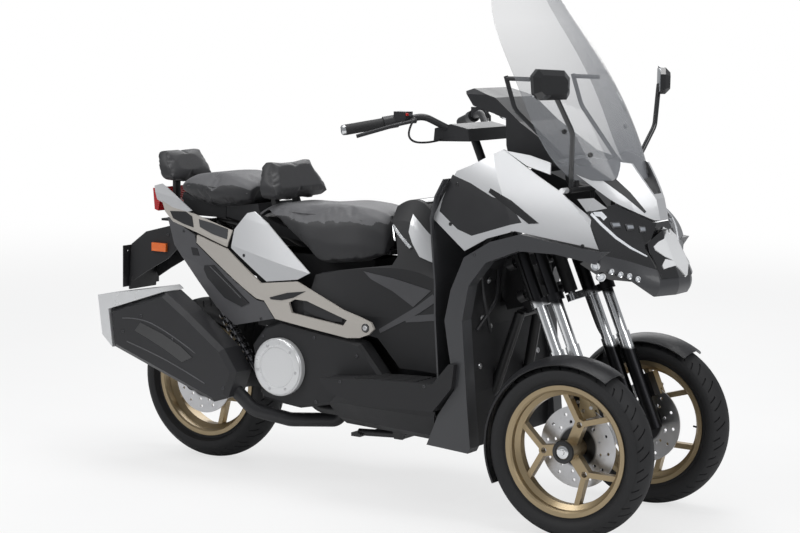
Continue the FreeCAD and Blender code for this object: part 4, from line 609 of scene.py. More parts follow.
def strip(upper, lower, cuts):
    """A strip of faces between two lines of places, cut finely."""
    clear_selection()
    bpy.ops.mesh.primitive_grid_add(x_subdivisions=len(upper) - 1, y_subdivisions=1, size=1.0)
    piece = bpy.context.object
    columns = len(upper)
    for number, vertex in enumerate(piece.data.vertices):
        row, column = divmod(number, columns)
        vertex.co = (lower, upper)[row][column]
    if cuts:
        bpy.ops.object.mode_set(mode="EDIT")
        bpy.ops.mesh.select_all(action="SELECT")
        bpy.ops.mesh.subdivide(number_cuts=cuts)
        bpy.ops.object.mode_set(mode="OBJECT")
    return piece


def places(shares):
    """Places from side-view pairs, or from triples with the width between."""
    return [at(each[0], each[-1], each[1] if len(each) == 3 else beside) for each in shares]


def faced(piece, way):
    """Turns a sheet so that it faces against a direction."""
    total = Vector((0.0, 0.0, 0.0))
    for polygon in piece.data.polygons:
        total += polygon.normal * polygon.area
    if total.dot(way) > 0:
        piece.data.flip_normals()
    return piece


def laid_strip(targets, upper, lower, way=from_right, lift=0.0015, thickness=0.004, cuts=5):
    """A strip laid on nodes along a direction, with a thickness that sinks into them."""
    piece = strip(places(upper), places(lower), cuts)
    for vertex in piece.data.vertices:
        spot, _ = surface(targets, vertex.co, way)
        vertex.co = spot - way * lift
    faced(piece, way)
    apply_modifier(piece, "SOLIDIFY", thickness=thickness, offset=-1.0)
    smooth(piece, 28.0)
    return piece


def flat_strip(upper, lower, way, thickness, cuts=0):
    """A strip through places in the open, with a thickness behind it."""
    piece = faced(strip(places(upper), places(lower), cuts), way)
    apply_modifier(piece, "SOLIDIFY", thickness=thickness, offset=-1.0)
    smooth(piece, 28.0)
    return piece


def pair(pieces, name, finish, body="root", slot=None):
    """Right-hand pieces and their mirror images, as one piece."""
    return settle(join(pieces + [mirrored(piece) for piece in pieces]), name, finish, body, slot)


def turned(profile, place, way, segments=28):
    """A turned piece from (radius, height) pairs, its axis set along a direction."""
    clear_selection()
    bpy.ops.mesh.primitive_circle_add(vertices=len(profile), radius=1.0, fill_type="NOTHING")
    piece = bpy.context.object
    for vertex, (reach, height) in zip(piece.data.vertices, profile):
        vertex.co = (reach, 0.0, height)
    bpy.ops.object.mode_set(mode="EDIT")
    bpy.ops.mesh.select_all(action="SELECT")
    bpy.ops.mesh.spin(steps=segments, angle=2.0 * math.pi, center=(0.0, 0.0, 0.0),
                      axis=(0.0, 0.0, 1.0))
    bpy.ops.mesh.select_all(action="SELECT")
    bpy.ops.mesh.remove_doubles(threshold=0.00001)
    bpy.ops.mesh.dissolve_degenerate(threshold=0.00001)
    bpy.ops.mesh.normals_make_consistent(inside=False)
    bpy.ops.object.mode_set(mode="OBJECT")
    piece.data.transform(turn_to(place, way))
    smooth(piece, 32.0)
    return piece


def turn_to(place, way):
    """The matrix that stands a piece on a place, facing along a direction."""
    return Matrix.Translation(place) @ Vector(way).to_track_quat("Z", "Y").to_matrix().to_4x4()


def block(place, way, width, height, depth, corner):
    """A rounded block on a place, facing along a direction, with its height upwards."""
    clear_selection()
    bpy.ops.mesh.primitive_cube_add(size=1.0)
    piece = bpy.context.object
    piece.data.transform(Matrix.Diagonal((width, height, depth, 1.0)))
    apply_modifier(piece, "BEVEL", width=corner, segments=3, limit_method="NONE")
    piece.data.transform(turn_to(place, way))
    smooth(piece, 32.0)
    return piece


def tube(points, radius, closed=False, smooth_steps=3):
    """A round tube through points."""
    clear_selection()
    bpy.ops.curve.primitive_nurbs_path_add()
    path = bpy.context.object
    path.location = (0.0, 0.0, 0.0)
    path.data.splines.clear()
    spline = path.data.splines.new("NURBS")
    spline.points.add(len(points) - 1)
    for point, place in zip(spline.points, points):
        point.co = (*place, 1.0)
    spline.order_u = 3
    spline.use_endpoint_u = not closed
    spline.use_cyclic_u = closed
    path.data.resolution_u = smooth_steps
    path.data.bevel_depth = radius
    path.data.bevel_resolution = 3
    path.data.use_fill_caps = True
    only(path)
    bpy.ops.object.convert(target="MESH")
    piece = bpy.context.object
    smooth(piece, 50.0)
    return piece


def on_side(targets, shares, lift, way=from_right):
    """Points a little above some nodes' surface, for a line that lies on it."""
    return [surface(targets, place, way)[0] - way * lift for place in places(shares)]


def spots(targets, shares, way=from_right):
    """Places and directions of screws on nodes."""
    return [surface(targets, place, way) for place in places(shares)]


def other_side(found):
    """The same places and directions on the other side too."""
    flip = Vector((1.0, -1.0, 1.0))
    return found + [(place * flip, Vector(way) * flip) for place, way in found]


def screws(name, found, radius, finish, body="root"):
    """Several like screws as one piece, modelled once and copied."""
    profile = [(0.0, radius * 0.15), (radius * 0.42, radius * 0.15), (radius * 0.50, radius * 0.42),
               (radius * 0.80, radius * 0.42), (radius, radius * 0.22), (radius, -radius * 0.3),
               (0.0, -radius * 0.3)]
    pattern = turned(profile, Vector((0.0, 0.0, 0.0)), Vector((0.0, 0.0, 1.0)), 16)
    made = []
    for place, way in found:
        twin = copied(pattern)
        twin.data.transform(turn_to(place, way))
        made.append(twin)
    bpy.data.objects.remove(pattern)
    return settle(join(made), name, finish, body)


def outward(piece):
    """Merges doubles and turns every face outwards."""
    only(piece)
    bpy.ops.object.mode_set(mode="EDIT")
    bpy.ops.mesh.select_all(action="SELECT")
    bpy.ops.mesh.remove_doubles(threshold=0.00002)
    bpy.ops.mesh.normals_make_consistent(inside=False)
    bpy.ops.object.mode_set(mode="OBJECT")


# Tyres

def tyre_section(radius, half, bead, foot):
    """The tyre's section as (y, distance from the axle), from one bead round to the other."""
    shoulder = bead + 0.62 * (radius - bead)
    shoulder_y = 0.86 * half
    rise = radius - shoulder
    crown = (shoulder_y * shoulder_y + rise * rise) / (2.0 * rise)
    turn = math.asin(shoulder_y / crown)
    side = [(foot, bead - 0.0005), (foot + 0.0015, bead + 0.009), (half * 0.93, bead + 0.018),
            (half * 0.99, bead + 0.028), (half, bead + 0.034), (half * 0.985, bead + 0.040),
            (half * 0.94, bead + 0.046)]
    top = []
    steps = 9
    for number in range(-steps, steps + 1):
        angle = -turn * number / steps
        top.append((crown * math.sin(angle), radius - crown * (1.0 - math.cos(angle))))
    right = [(-y, reach) for y, reach in reversed(side)]
    inner = [(-foot + 0.012, bead + 0.010), (-half * 0.5, radius - 0.024),
             (half * 0.5, radius - 0.024), (foot - 0.012, bead + 0.010)]
    return side + top + right + inner, len(side), len(side) + len(top)


def groove_marks(step, column, first, last):
    """Whether the tread face at a step and column lies in a groove."""
    off = column - (first + last) / 2.0
    late = 3 if off > 0 else 0
    phase = (step + late) % 6
    long_groove = phase == 0 and 1.2 < abs(off) < 8.0
    short_groove = phase == 3 and 4.4 < abs(off) < 8.6
    return long_groove or short_groove


def make_tyre(name, centre, shape, finish, body):
    """A tyre with slanted tread grooves, spun from its section."""
    sizes = bpy.context.scene.scooter_sizes
    steps = sizes.groove_steps
    radius, half, bead, foot = shape
    section, first, last = tyre_section(radius, half, bead, foot)
    clear_selection()
    bpy.ops.mesh.primitive_circle_add(vertices=len(section), radius=1.0, fill_type="NOTHING")
    piece = bpy.context.object
    for vertex, (y, reach) in zip(piece.data.vertices, section):
        vertex.co = centre + Vector((0.0, y, reach))
    piece.location = (0.0, 0.0, 0.0)
    bpy.ops.object.mode_set(mode="EDIT")
    bpy.ops.mesh.select_all(action="SELECT")
    bpy.ops.mesh.spin(steps=steps, angle=2.0 * math.pi, center=centre, axis=(0.0, 1.0, 0.0))
    bpy.ops.mesh.select_all(action="SELECT")
    bpy.ops.mesh.remove_doubles(threshold=0.0001)
    bpy.ops.mesh.normals_make_consistent(inside=False)
    bpy.ops.mesh.select_all(action="DESELECT")
    mesh = bmesh.from_edit_mesh(piece.data)
    widths = [y for y, _ in section]
    for face in mesh.faces:
        spot = face.calc_center_median() - centre
        reach = math.hypot(spot.x, spot.z)
        if reach < radius - 0.5 * (radius - bead) or face.normal.dot(
                Vector((spot.x, 0.0, spot.z)).normalized()) < 0.3:
            continue
        turn = math.atan2(spot.x, spot.z) % (2.0 * math.pi)
        step = int(turn / (2.0 * math.pi) * steps)
        column = first
        while column < last - 1 and widths[column + 1] > spot.y:
            column += 1
        face.select = groove_marks(step, column + 0.5, first, last)
    bmesh.update_edit_mesh(piece.data)
    bpy.ops.mesh.inset(thickness=groove_inset, use_boundary=True)
    bpy.ops.mesh.extrude_region_shrink_fatten(
        TRANSFORM_OT_shrink_fatten={"value": -sizes.groove_depth})
    mesh = bmesh.from_edit_mesh(piece.data)
    for vertex in mesh.verts:
        spot = vertex.co - centre
        slant = groove_slant * abs(spot.y)
        vertex.co = centre + Matrix.Rotation(slant, 3, "Y") @ spot
    bmesh.update_edit_mesh(piece.data)
    bpy.ops.object.mode_set(mode="OBJECT")
    smooth(piece, 38.0)
    settle(piece, name + "_tread", finish, body, "tyre")
    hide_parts(name)
    return piece


# Padding

def cut_off(piece, place, way):
    """Cuts a piece at a plane, closes it and drops what lies on the plane's far side."""
    only(piece)
    bpy.ops.object.mode_set(mode="EDIT")
    bpy.ops.mesh.select_all(action="SELECT")
    bpy.ops.mesh.bisect(plane_co=place, plane_no=way, use_fill=True, clear_outer=True)
    bpy.ops.object.mode_set(mode="OBJECT")


def blank_of(node, low=None):
    """A merged copy of a CAD node, kept above a height."""
    blank = copied(nodes[node])
    outward(blank)
    if low is not None:
        cut_off(blank, (0.0, 0.0, low), (0.0, 0.0, -1.0))
    return blank


def swell(piece, pressure, cap):
    """Blows the pad up a little as cloth, holds each point near its start, and applies it."""
    start = np.array([v.co for v in piece.data.vertices], float)
    cloth = piece.modifiers.new("Padding", "CLOTH")
    cloth.settings.use_pressure = True
    cloth.settings.uniform_pressure_force = pressure
    cloth.settings.effector_weights.gravity = 0.0
    cloth.settings.tension_stiffness = 18.0
    cloth.settings.compression_stiffness = 18.0
    cloth.settings.bending_stiffness = 2.0
    scene = bpy.context.scene
    for number in range(1, cloth_frames + 1):
        scene.frame_set(number)
    shown = piece.evaluated_get(bpy.context.evaluated_depsgraph_get())
    end = np.array([v.co for v in shown.data.vertices], float)
    piece.modifiers.clear()
    move = end - start
    far = np.linalg.norm(move, axis=1, keepdims=True)
    move *= np.minimum(1.0, cap / np.maximum(far, 1e-9))
    piece.data.vertices.foreach_set("co", (start + move).astype(np.float32).ravel())
    piece.data.update()
    scene.frame_set(1)


def padded(name, node, body, lit_top_slope, low=None, corner=None, shrink=0.004):
    """A seat pad: remeshed, swollen, softened, and faced on top with grained vinyl that is painted
    lighter for the light from above.

    Each side can be cut off at a slant, from a half width and height down the side to a
    half width and height at the top.
    """
    sizes = bpy.context.scene.scooter_sizes
    finishes = painter["finishes"]
    pad = blank_of(node, low)
    if corner is not None:
        half, side_height, half_top, top = corner
        for side in (-1.0, 1.0):
            cut_off(pad, (0.0, side * half, side_height),
                    (0.0, side * (top - side_height), half - half_top))
    apply_modifier(pad, "REMESH", mode="VOXEL", voxel_size=sizes.voxel)
    only(pad)
    bpy.ops.object.mode_set(mode="EDIT")
    bpy.ops.mesh.select_all(action="SELECT")
    bpy.ops.transform.shrink_fatten(value=-shrink)
    bpy.ops.mesh.vertices_smooth(factor=0.5, repeat=6)
    bpy.ops.object.mode_set(mode="OBJECT")
    swell(pad, cloth_pressure, sizes.swell_cap)
    apply_modifier(pad, "SUBSURF", levels=1, render_levels=1)
    settle(pad, name, finishes["seat_side"], body, "seat_vinyl")
    # The faces that look upwards take the top vinyl, whose lighter colour is painted light from
    # above
    pad.data.materials.append(finishes["painted_lit_seat_top"])
    for polygon in pad.data.polygons:
        polygon.material_index = 1 if polygon.normal.z > lit_top_slope else 0
    smooth(pad, 60.0)
    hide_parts(node)
    return pad


def stays(name, node, high, inner, outer, finish, body, slot):
    """The two stays under a pad: the CAD piece's part below a height and between two widths."""
    piece = blank_of(node)
    cut_off(piece, (0.0, 0.0, high), (0.0, 0.0, 1.0))
    cut_off(piece, (0.0, -inner, 0.0), (0.0, 1.0, 0.0))
    cut_off(piece, (0.0, -outer, 0.0), (0.0, -1.0, 0.0))
    apply_modifier(piece, "BEVEL", width=0.0012, segments=2, limit_method="ANGLE")
    smooth(piece)
    return pair([piece], name, finish, body, slot)


class ScooterStage(bpy.types.Operator):
    """Lays the pale floor, the soft lights, the world and the camera"""
    bl_idname = "scooter.stage"
    bl_label = "Stage, lights and camera"

    def execute(self, context):
        """Builds the stage."""
        scene = context.scene
        scene.view_settings.view_transform = "Standard"
        clear_selection()
        bpy.ops.mesh.primitive_plane_add(size=60.0, location=(0.0, 0.0, 0.0))
        floor = context.object
        floor.name = "studio_floor"
        floor.data.materials.append(self.floor_finish())
        self.world(scene)
        self.lamp("key_softbox", (-2.2, -3.4, 4.4), 2.6, 105.0)
        self.lamp("front_softbox", (4.2, -1.2, 2.8), 2.2, 50.0)
        self.lamp("back_softbox", (-1.5, 3.8, 3.2), 3.0, 60.0)
        self.lamp("top_softbox", (0.4, 0.3, 4.6), 2.4, 95.0)
        self.camera(scene)
        return {"FINISHED"}

    def floor_finish(self):
        """A pale floor that keeps soft shadows and shows white to the camera."""
        mix = Recipe("studio_floor")
        speck = mix.noise(3.0, 4.0)
        base = mix.blend(speck, (0.80, 0.80, 0.80), (0.84, 0.84, 0.84))
        matt = mix.node("ShaderNodeBsdfDiffuse", {}, {"Color": base})
        bright = mix.node("ShaderNodeEmission", {}, {"Color": (1.0, 1.0, 1.0), "Strength": 1.0})
        seen = mix.node("ShaderNodeLightPath", {}, {}, "Is Camera Ray")
        far = (mix.axis("X") ** 2.0 + mix.axis("Y") ** 2.0) ** 0.5
        fade = mix.node("ShaderNodeMapRange", {"interpolation_type": "SMOOTHSTEP"},
                        {"Value": far, "From Min": 2.0, "From Max": 9.0, "To Min": 0.70,
                         "To Max": 1.0})
        mixed = mix.node("ShaderNodeMixShader", {}, {0: seen * fade, 1: matt, 2: bright})
        mix.node("ShaderNodeOutputMaterial", {}, {0: mixed})
        return mix.material

    def world(self, scene):
        """An even world that shows white behind the machine and through its screen."""
        world = bpy.data.worlds.new("studio_world")
        scene.world = world
        world.use_nodes = True
        tree = world.node_tree
        tree.nodes.clear()
        path = tree.nodes.new("ShaderNodeLightPath")
        lit = tree.nodes.new("ShaderNodeBackground")
        lit.inputs["Color"].default_value = (0.86, 0.88, 0.91, 1.0)
        lit.inputs["Strength"].default_value = 0.36
        shown = tree.nodes.new("ShaderNodeBackground")
        shown.inputs["Color"].default_value = (1.0, 1.0, 1.0, 1.0)
        most = tree.nodes.new("ShaderNodeMath")
        most.operation = "MAXIMUM"
        tree.links.new(path.outputs["Is Camera Ray"], most.inputs[0])
        tree.links.new(path.outputs["Is Transmission Ray"], most.inputs[1])
        blend = tree.nodes.new("ShaderNodeMixShader")
        tree.links.new(most.outputs[0], blend.inputs[0])
        tree.links.new(lit.outputs[0], blend.inputs[1])
        tree.links.new(shown.outputs[0], blend.inputs[2])
        end = tree.nodes.new("ShaderNodeOutputWorld")
        tree.links.new(blend.outputs[0], end.inputs[0])

    def lamp(self, name, place, size, power):
        """A soft square lamp that looks at the machine."""
        clear_selection()
        bpy.ops.object.light_add(type="AREA", location=place)
        lamp = bpy.context.object
        lamp.name = name
        lamp.data.size = size
        lamp.data.energy = power
        way = Vector((0.0, 0.0, 0.6)) - Vector(place)
        lamp.rotation_mode = "QUATERNION"
        lamp.rotation_quaternion = way.to_track_quat("-Z", "Y")

    def camera(self, scene):
        """The photograph's camera, solved from the tyres and the body's outline."""
        azimuth, elevation, roll = (math.radians(a) for a in (31.7788, 6.8563, 1.0068))
        distance = 6.7412
        target = Vector((0.1077, 0.0, 0.7838))
        back = Vector((math.sin(azimuth) * math.cos(elevation),
                       -math.cos(azimuth) * math.cos(elevation), math.sin(elevation)))
        right = Vector((0.0, 0.0, 1.0)).cross(back).normalized()
        up = back.cross(right)
        turned_right = right * math.cos(roll) + up * math.sin(roll)
        turned_up = up * math.cos(roll) - right * math.sin(roll)
        bpy.ops.object.camera_add()
        camera = bpy.context.object
        camera.matrix_world = Matrix.Translation(target + back * distance) @ Matrix(
            (turned_right, turned_up, back)).transposed().to_4x4()
        camera.data.sensor_width = 36.0
        camera.data.lens = 91.26
        camera.data.shift_x = -0.0284
        camera.data.shift_y = -0.0119
        scene.camera = camera


class ScooterFinishes(bpy.types.Operator):
    """Paints every CAD node with its own procedural finish"""
    bl_idname = "scooter.finishes"
    bl_label = "Finishes of the CAD pieces"

    def execute(self, context):
        """Makes the finishes and gives each node one."""
        painter["finishes"] = make_finishes()
        chosen = {node: kind for kind, names in node_finishes.items() for node in names}
        for name in nodes:
            if name.startswith(("tyre_", "disc_")):
                chosen[name] = name
        missing = sorted(set(nodes) - set(chosen))
        if missing:
            raise RuntimeError("no finish for " + ", ".join(missing))
        for name, kind in chosen.items():
            piece = nodes[name]
            if not piece.material_slots:
                piece.data.materials.append(None)
            for slot in piece.material_slots:
                slot.material = painter["finishes"][kind]
        return {"FINISHED"}


class ScooterTyres(bpy.types.Operator):
    """Spins the three tyres with their tread"""
    bl_idname = "scooter.tyres"
    bl_label = "Tyres"

    def execute(self, context):
        """Makes the tyres."""
        finishes = painter["finishes"]
        for side, name in ((1, "front_left"), (-1, "front_right")):
            centre = Vector((front_axle.x, side * front_axle.y, front_axle.z))
            make_tyre("tyre_" + name, centre, front_tyre, finishes["tyre_" + name],
                      "wheel_" + name)
        make_tyre("tyre_rear", rear_axle, rear_tyre, finishes["tyre_rear"], "wheel_rear")
        return {"FINISHED"}


class ScooterSeats(bpy.types.Operator):
    """Pads the seats and backrests, with their stays and piping"""
    bl_idname = "scooter.seats"
    bl_label = "Seats and backrests"

    def execute(self, context):
        """Makes the padded pieces."""
        finishes = painter["finishes"]
        sizes = context.scene.scooter_sizes
        rider = padded("rider_cushion", "rider_seat", "seat", 0.48)
        pillion = padded("pillion_cushion", "pillion_seat", "seat", 0.40)
        padded("rider_back_pad", "rider_backrest", "seat", 2.0, 0.9485,
               (0.158, 0.995, 0.116, 1.082))
        padded("pillion_back_pad", "pillion_backrest", "root", 2.0, 0.983,
               (0.118, 1.035, 0.098, 1.094))
        stays("rider_back_stays", "rider_backrest", 0.954, 0.0485, 0.0735, finishes["frame"],
              "seat", "frame_paint")
        stays("pillion_back_stays", "pillion_backrest", 0.988, 0.0265, 0.0515,
              finishes["frame"], "root", "frame_paint")
        cover = flat_strip([(0.066, -0.102, 0.926), (0.130, -0.102, 0.924), (0.160, -0.102, 0.922)],
                           [(0.070, -0.102, 0.872), (0.130, -0.102, 0.872),
                            (0.160, -0.102, 0.872)], from_right, 0.004)
        pair([cover], "pillion_base_covers", finishes["plastic"], "seat", "black_plastic")
        for name, pad, shares in (
                ("rider_seat_piping", rider, [(0.250, 0.915), (0.300, 0.915), (0.360, 0.915),
                                              (0.420, 0.915), (0.455, 0.905)]),
                ("pillion_seat_piping", pillion, [(0.060, 0.985), (0.110, 0.985),
                                                  (0.170, 0.978), (0.215, 0.965)])):
            line = on_side([pad], shares, 0.0)
            piping = tube(line, sizes.seam_radius, smooth_steps=8)
            settle(join([piping, mirrored(piping)]), name, finishes["piping"], "seat",
                   "seat_vinyl")
        return {"FINISHED"}


class ScooterWheels(bpy.types.Operator):
    """Adds hub caps, nuts, valves, disc buttons, caliper bolts and brake hoses"""
    bl_idname = "scooter.wheels"
    bl_label = "Wheel and brake fittings"

    def hub(self, body, centre, side, reach, face):
        """A dark ring with a polished cap on a hub's outer face."""
        finishes = painter["finishes"]
        way = Vector((0.0, side, 0.0))
        place = Vector((centre.x, face, centre.z))
        ring = turned([(reach * 0.62, 0.0), (reach * 0.62, 0.005), (reach * 0.70, 0.006),
                       (reach * 0.94, 0.004), (reach, 0.0), (reach, -0.004),
                       (reach * 0.62, -0.004)], place, way, 40)
        settle(ring, body + "_hub_ring", finishes["frame"], body)
        cap = turned([(0.0, 0.009), (reach * 0.20, 0.0088), (reach * 0.24, 0.0062),
                      (reach * 0.40, 0.0060), (reach * 0.56, 0.0035), (reach * 0.60, 0.0),
                      (reach * 0.60, -0.003), (0.0, -0.003)], place, way, 40)
        settle(cap, body + "_hub_cap", finishes["bright"], body)

    def execute(self, context):
        """Makes the wheel fittings."""
        finishes = painter["finishes"]
        for side, word in ((1, "left"), (-1, "right")):
            body = "wheel_front_" + word
            centre = Vector((front_axle.x, side * front_axle.y, front_axle.z))
            inwards = Vector((0.0, -side, 0.0))
            start = Vector((centre.x, side * 0.9, centre.z))
            spot, _ = surface(["rim_front_" + word], start, inwards)
            self.hub(body, centre, side, hub_radius, spot.y)
            ring = []
            for number in range(button_count):
                angle = 2.0 * math.pi * (number + 0.5) / button_count
                ring.append((Vector((centre.x + button_circle * math.cos(angle), side * disc_face,
                                     centre.z + button_circle * math.sin(angle))), inwards))
            screws("disc_buttons_" + word, ring, 0.0055, finishes["steel"], body)
            valve = tube([Vector((centre.x + 0.185, side * 0.262, centre.z)),
                          Vector((centre.x + 0.170, side * 0.266, centre.z)),
                          Vector((centre.x + 0.158, side * 0.272, centre.z))], 0.0032)
            settle(valve, "valve_" + word, finishes["smooth_plastic"], body)
            fork = "fork_" + word
            hose = [(0.768, 0.168, 0.800), (0.786, 0.166, 0.720), (0.804, 0.166, 0.640),
                    (0.822, 0.168, 0.560), (0.850, 0.180, 0.500), (0.882, 0.205, 0.450),
                    (0.893, 0.222, 0.425)]
            line = [at(sx, sz, side * y) for sx, y, sz in hose]
            settle(tube(line, 0.0042, smooth_steps=6), "brake_hose_" + word,
                   finishes["smooth_plastic"], fork)
            found = []
            for sx, sz in ((0.893, 0.418), (0.915, 0.404), (0.925, 0.385), (0.902, 0.392)):
                place = at(sx, sz, side * 0.45)
                hit, spot, normal, _ = nodes[fork].ray_cast(place, inwards)
                if hit and abs(spot.y) > caliper_face:
                    found.append((spot, normal))
            if found:
                screws("caliper_bolts_" + word, found, 0.0060, finishes["steel"], fork)
        for side in (-1, 1):
            start = Vector((rear_axle.x, side * 0.9, rear_axle.z))
            spot, _ = surface(["swingarm"], start, Vector((0.0, -side, 0.0)))
            nut = turned([(0.0, 0.012), (0.009, 0.012), (0.010, 0.009), (0.014, 0.009),
                          (0.016, 0.007), (0.016, 0.003), (0.021, 0.003), (0.021, -0.003),
                          (0.0, -0.003)], spot, Vector((0.0, side, 0.0)), 24)
            settle(nut, "rear_axle_nut_" + ("right" if side < 0 else "left"),
                   finishes["steel"], "root")
        return {"FINISHED"}


class ScooterNose(bpy.types.Operator):
    """Adds the star panel, light bars, lamp modules, lamp rows and panel slots of the nose"""
    bl_idname = "scooter.nose"
    bl_label = "Nose panels and lamps"

    def execute(self, context):
        """Makes the nose details."""
        finishes = painter["finishes"]
        self.star(finishes)
        self.headlamps(finishes)
        self.lamp_rows(finishes)
        self.panels(finishes)
        return {"FINISHED"}

    def star(self, finishes):
        """The star-shaped panel, as one arm and one leg on each side."""
        front = ["beak", "headlamps", "hood", "chin"]
        arm = laid_strip(front, [(1.0, 0.0, 0.947), (1.0, -0.020, 0.932), (1.0, -0.045, 0.915),
                                 (1.0, -0.070, 0.906), (1.0, -0.091, 0.894)],
                         [(1.0, 0.0, 0.826), (1.0, -0.020, 0.838), (1.0, -0.045, 0.850),
                          (1.0, -0.070, 0.864), (1.0, -0.091, 0.884)], from_front, 0.004, 0.007)
        leg = laid_strip(front, [(1.0, 0.0, 0.826), (1.0, -0.020, 0.838), (1.0, -0.045, 0.850),
                                 (1.0, -0.072, 0.856), (1.0, -0.094, 0.838)],
                         [(1.0, 0.0, 0.796), (1.0, -0.020, 0.815), (1.0, -0.045, 0.836),
                          (1.0, -0.072, 0.832), (1.0, -0.094, 0.828)], from_front, 0.004, 0.007)
        pair([arm, leg], "nose_star", finishes["star"])

    def headlamps(self, finishes):
        """The light bars, and the framed lamp modules."""
        bar = laid_strip(["headlamps", "cheeks"],
                         [(0.903, -0.235, 0.999), (0.918, -0.222, 0.966), (0.937, -0.200, 0.928),
                          (0.955, -0.170, 0.897), (0.972, -0.125, 0.868)],
                         [(0.901, -0.238, 0.993), (0.916, -0.226, 0.960), (0.935, -0.204, 0.922),
                          (0.954, -0.174, 0.892), (0.972, -0.128, 0.865)], from_ahead_right,
                         0.002, 0.005)
        hook = laid_strip(["headlamps"],
                          [(0.905, -0.232, 1.001), (0.912, -0.205, 1.001), (0.920, -0.200, 0.985)],
                          [(0.907, -0.228, 0.990), (0.912, -0.214, 0.986), (0.916, -0.207, 0.975)],
                          from_ahead_right, 0.003, 0.006)
        pair([bar, hook], "light_bars", finishes["light_bar"])
        bezels = []
        panes = []
        for sx, y, sz, width in ((0.931, -0.185, 0.960, 0.040), (0.944, -0.140, 0.952, 0.034),
                                 (0.955, -0.098, 0.944, 0.026)):
            spot, normal = surface(["headlamps"], at(sx, sz, y), from_ahead_right)
            bezels.append(block(spot, normal, width, 0.022, 0.008, 0.003))
            panes.append(block(spot + normal * 0.003, normal, width * 0.74, 0.012, 0.005, 0.002))
        pair(bezels, "lamp_module_frames", finishes["dark_alloy"])
        pair(panes, "lamp_module_lenses", finishes["lamp_glass"])

    def lamp_rows(self, finishes):
        """The small round lamps in rows under the headlamps."""
        rings = []
        domes = []
        for sx, y, sz, reach in ((0.926, -0.290, 0.846, 0.0150), (0.943, -0.257, 0.829, 0.0100),
                                 (0.951, -0.227, 0.818, 0.0100), (0.959, -0.199, 0.811, 0.0100),
                                 (0.968, -0.176, 0.801, 0.0100), (0.932, -0.276, 0.812, 0.0150)):
            spot, normal = surface(["chin", "lamp_clusters"], at(sx, sz, y), from_ahead_right)
            rings.append(turned([(reach * 0.66, 0.001), (reach * 0.72, 0.005),
                                 (reach * 0.92, 0.006), (reach, 0.003), (reach, -0.005),
                                 (reach * 0.66, -0.005)], spot, normal, 26))
            domes.append(turned([(0.0, 0.006), (reach * 0.34, 0.0054), (reach * 0.66, 0.001),
                                 (reach * 0.66, -0.005), (0.0, -0.005)], spot, normal, 26))
        pair(rings, "lamp_row_rings", finishes["bright"])
        pair(domes, "lamp_row_lenses", finishes["light_bar"])

    def panels(self, finishes):
        """The brows, the dark strips of painted shadow on the hood, the fairings' slits, and the
        screws.
        """
        blade = flat_strip([(0.880, -0.243, 1.037), (0.905, -0.234, 1.043)],
                           [(0.897, -0.244, 1.000), (0.921, -0.205, 1.012)], from_ahead_right,
                           0.004)
        pair([blade], "lamp_brow_panels", finishes["panel"])
        # A dark strip painted along the hood as the shadow band under its crease
        groove = laid_strip(["hood"],
                            [(0.866, -0.158, 1.157), (0.905, -0.120, 1.108),
                             (0.932, -0.094, 1.055), (0.955, -0.071, 0.997)],
                            [(0.852, -0.183, 1.148), (0.893, -0.146, 1.096),
                             (0.925, -0.106, 1.043), (0.953, -0.074, 0.992)], from_ahead_right,
                            0.0012, 0.004)
        pair([groove], "hood_painted_shadow_strips", finishes["smooth_plastic"])
        slit = laid_strip(["fairings", "fairing_inserts"],
                          [(0.738, 1.056), (0.778, 1.023), (0.829, 0.961)],
                          [(0.735, 1.043), (0.770, 1.006), (0.812, 0.957)])
        pair([slit], "fairing_slits", finishes["gloss"])
        screws("fairing_screws", other_side(spots(
            ["fairing_inserts", "fairings"], [(0.675, 1.060), (0.668, 0.935), (0.785, 0.925),
                                              (0.905, 0.900)])), 0.0060, finishes["frame"])
        screws("screen_screws", other_side(spots(
            ["windscreen"], [(0.875, -0.150, 1.165), (0.840, -0.190, 1.235)],
            from_ahead_right)), 0.0080, finishes["frame"])


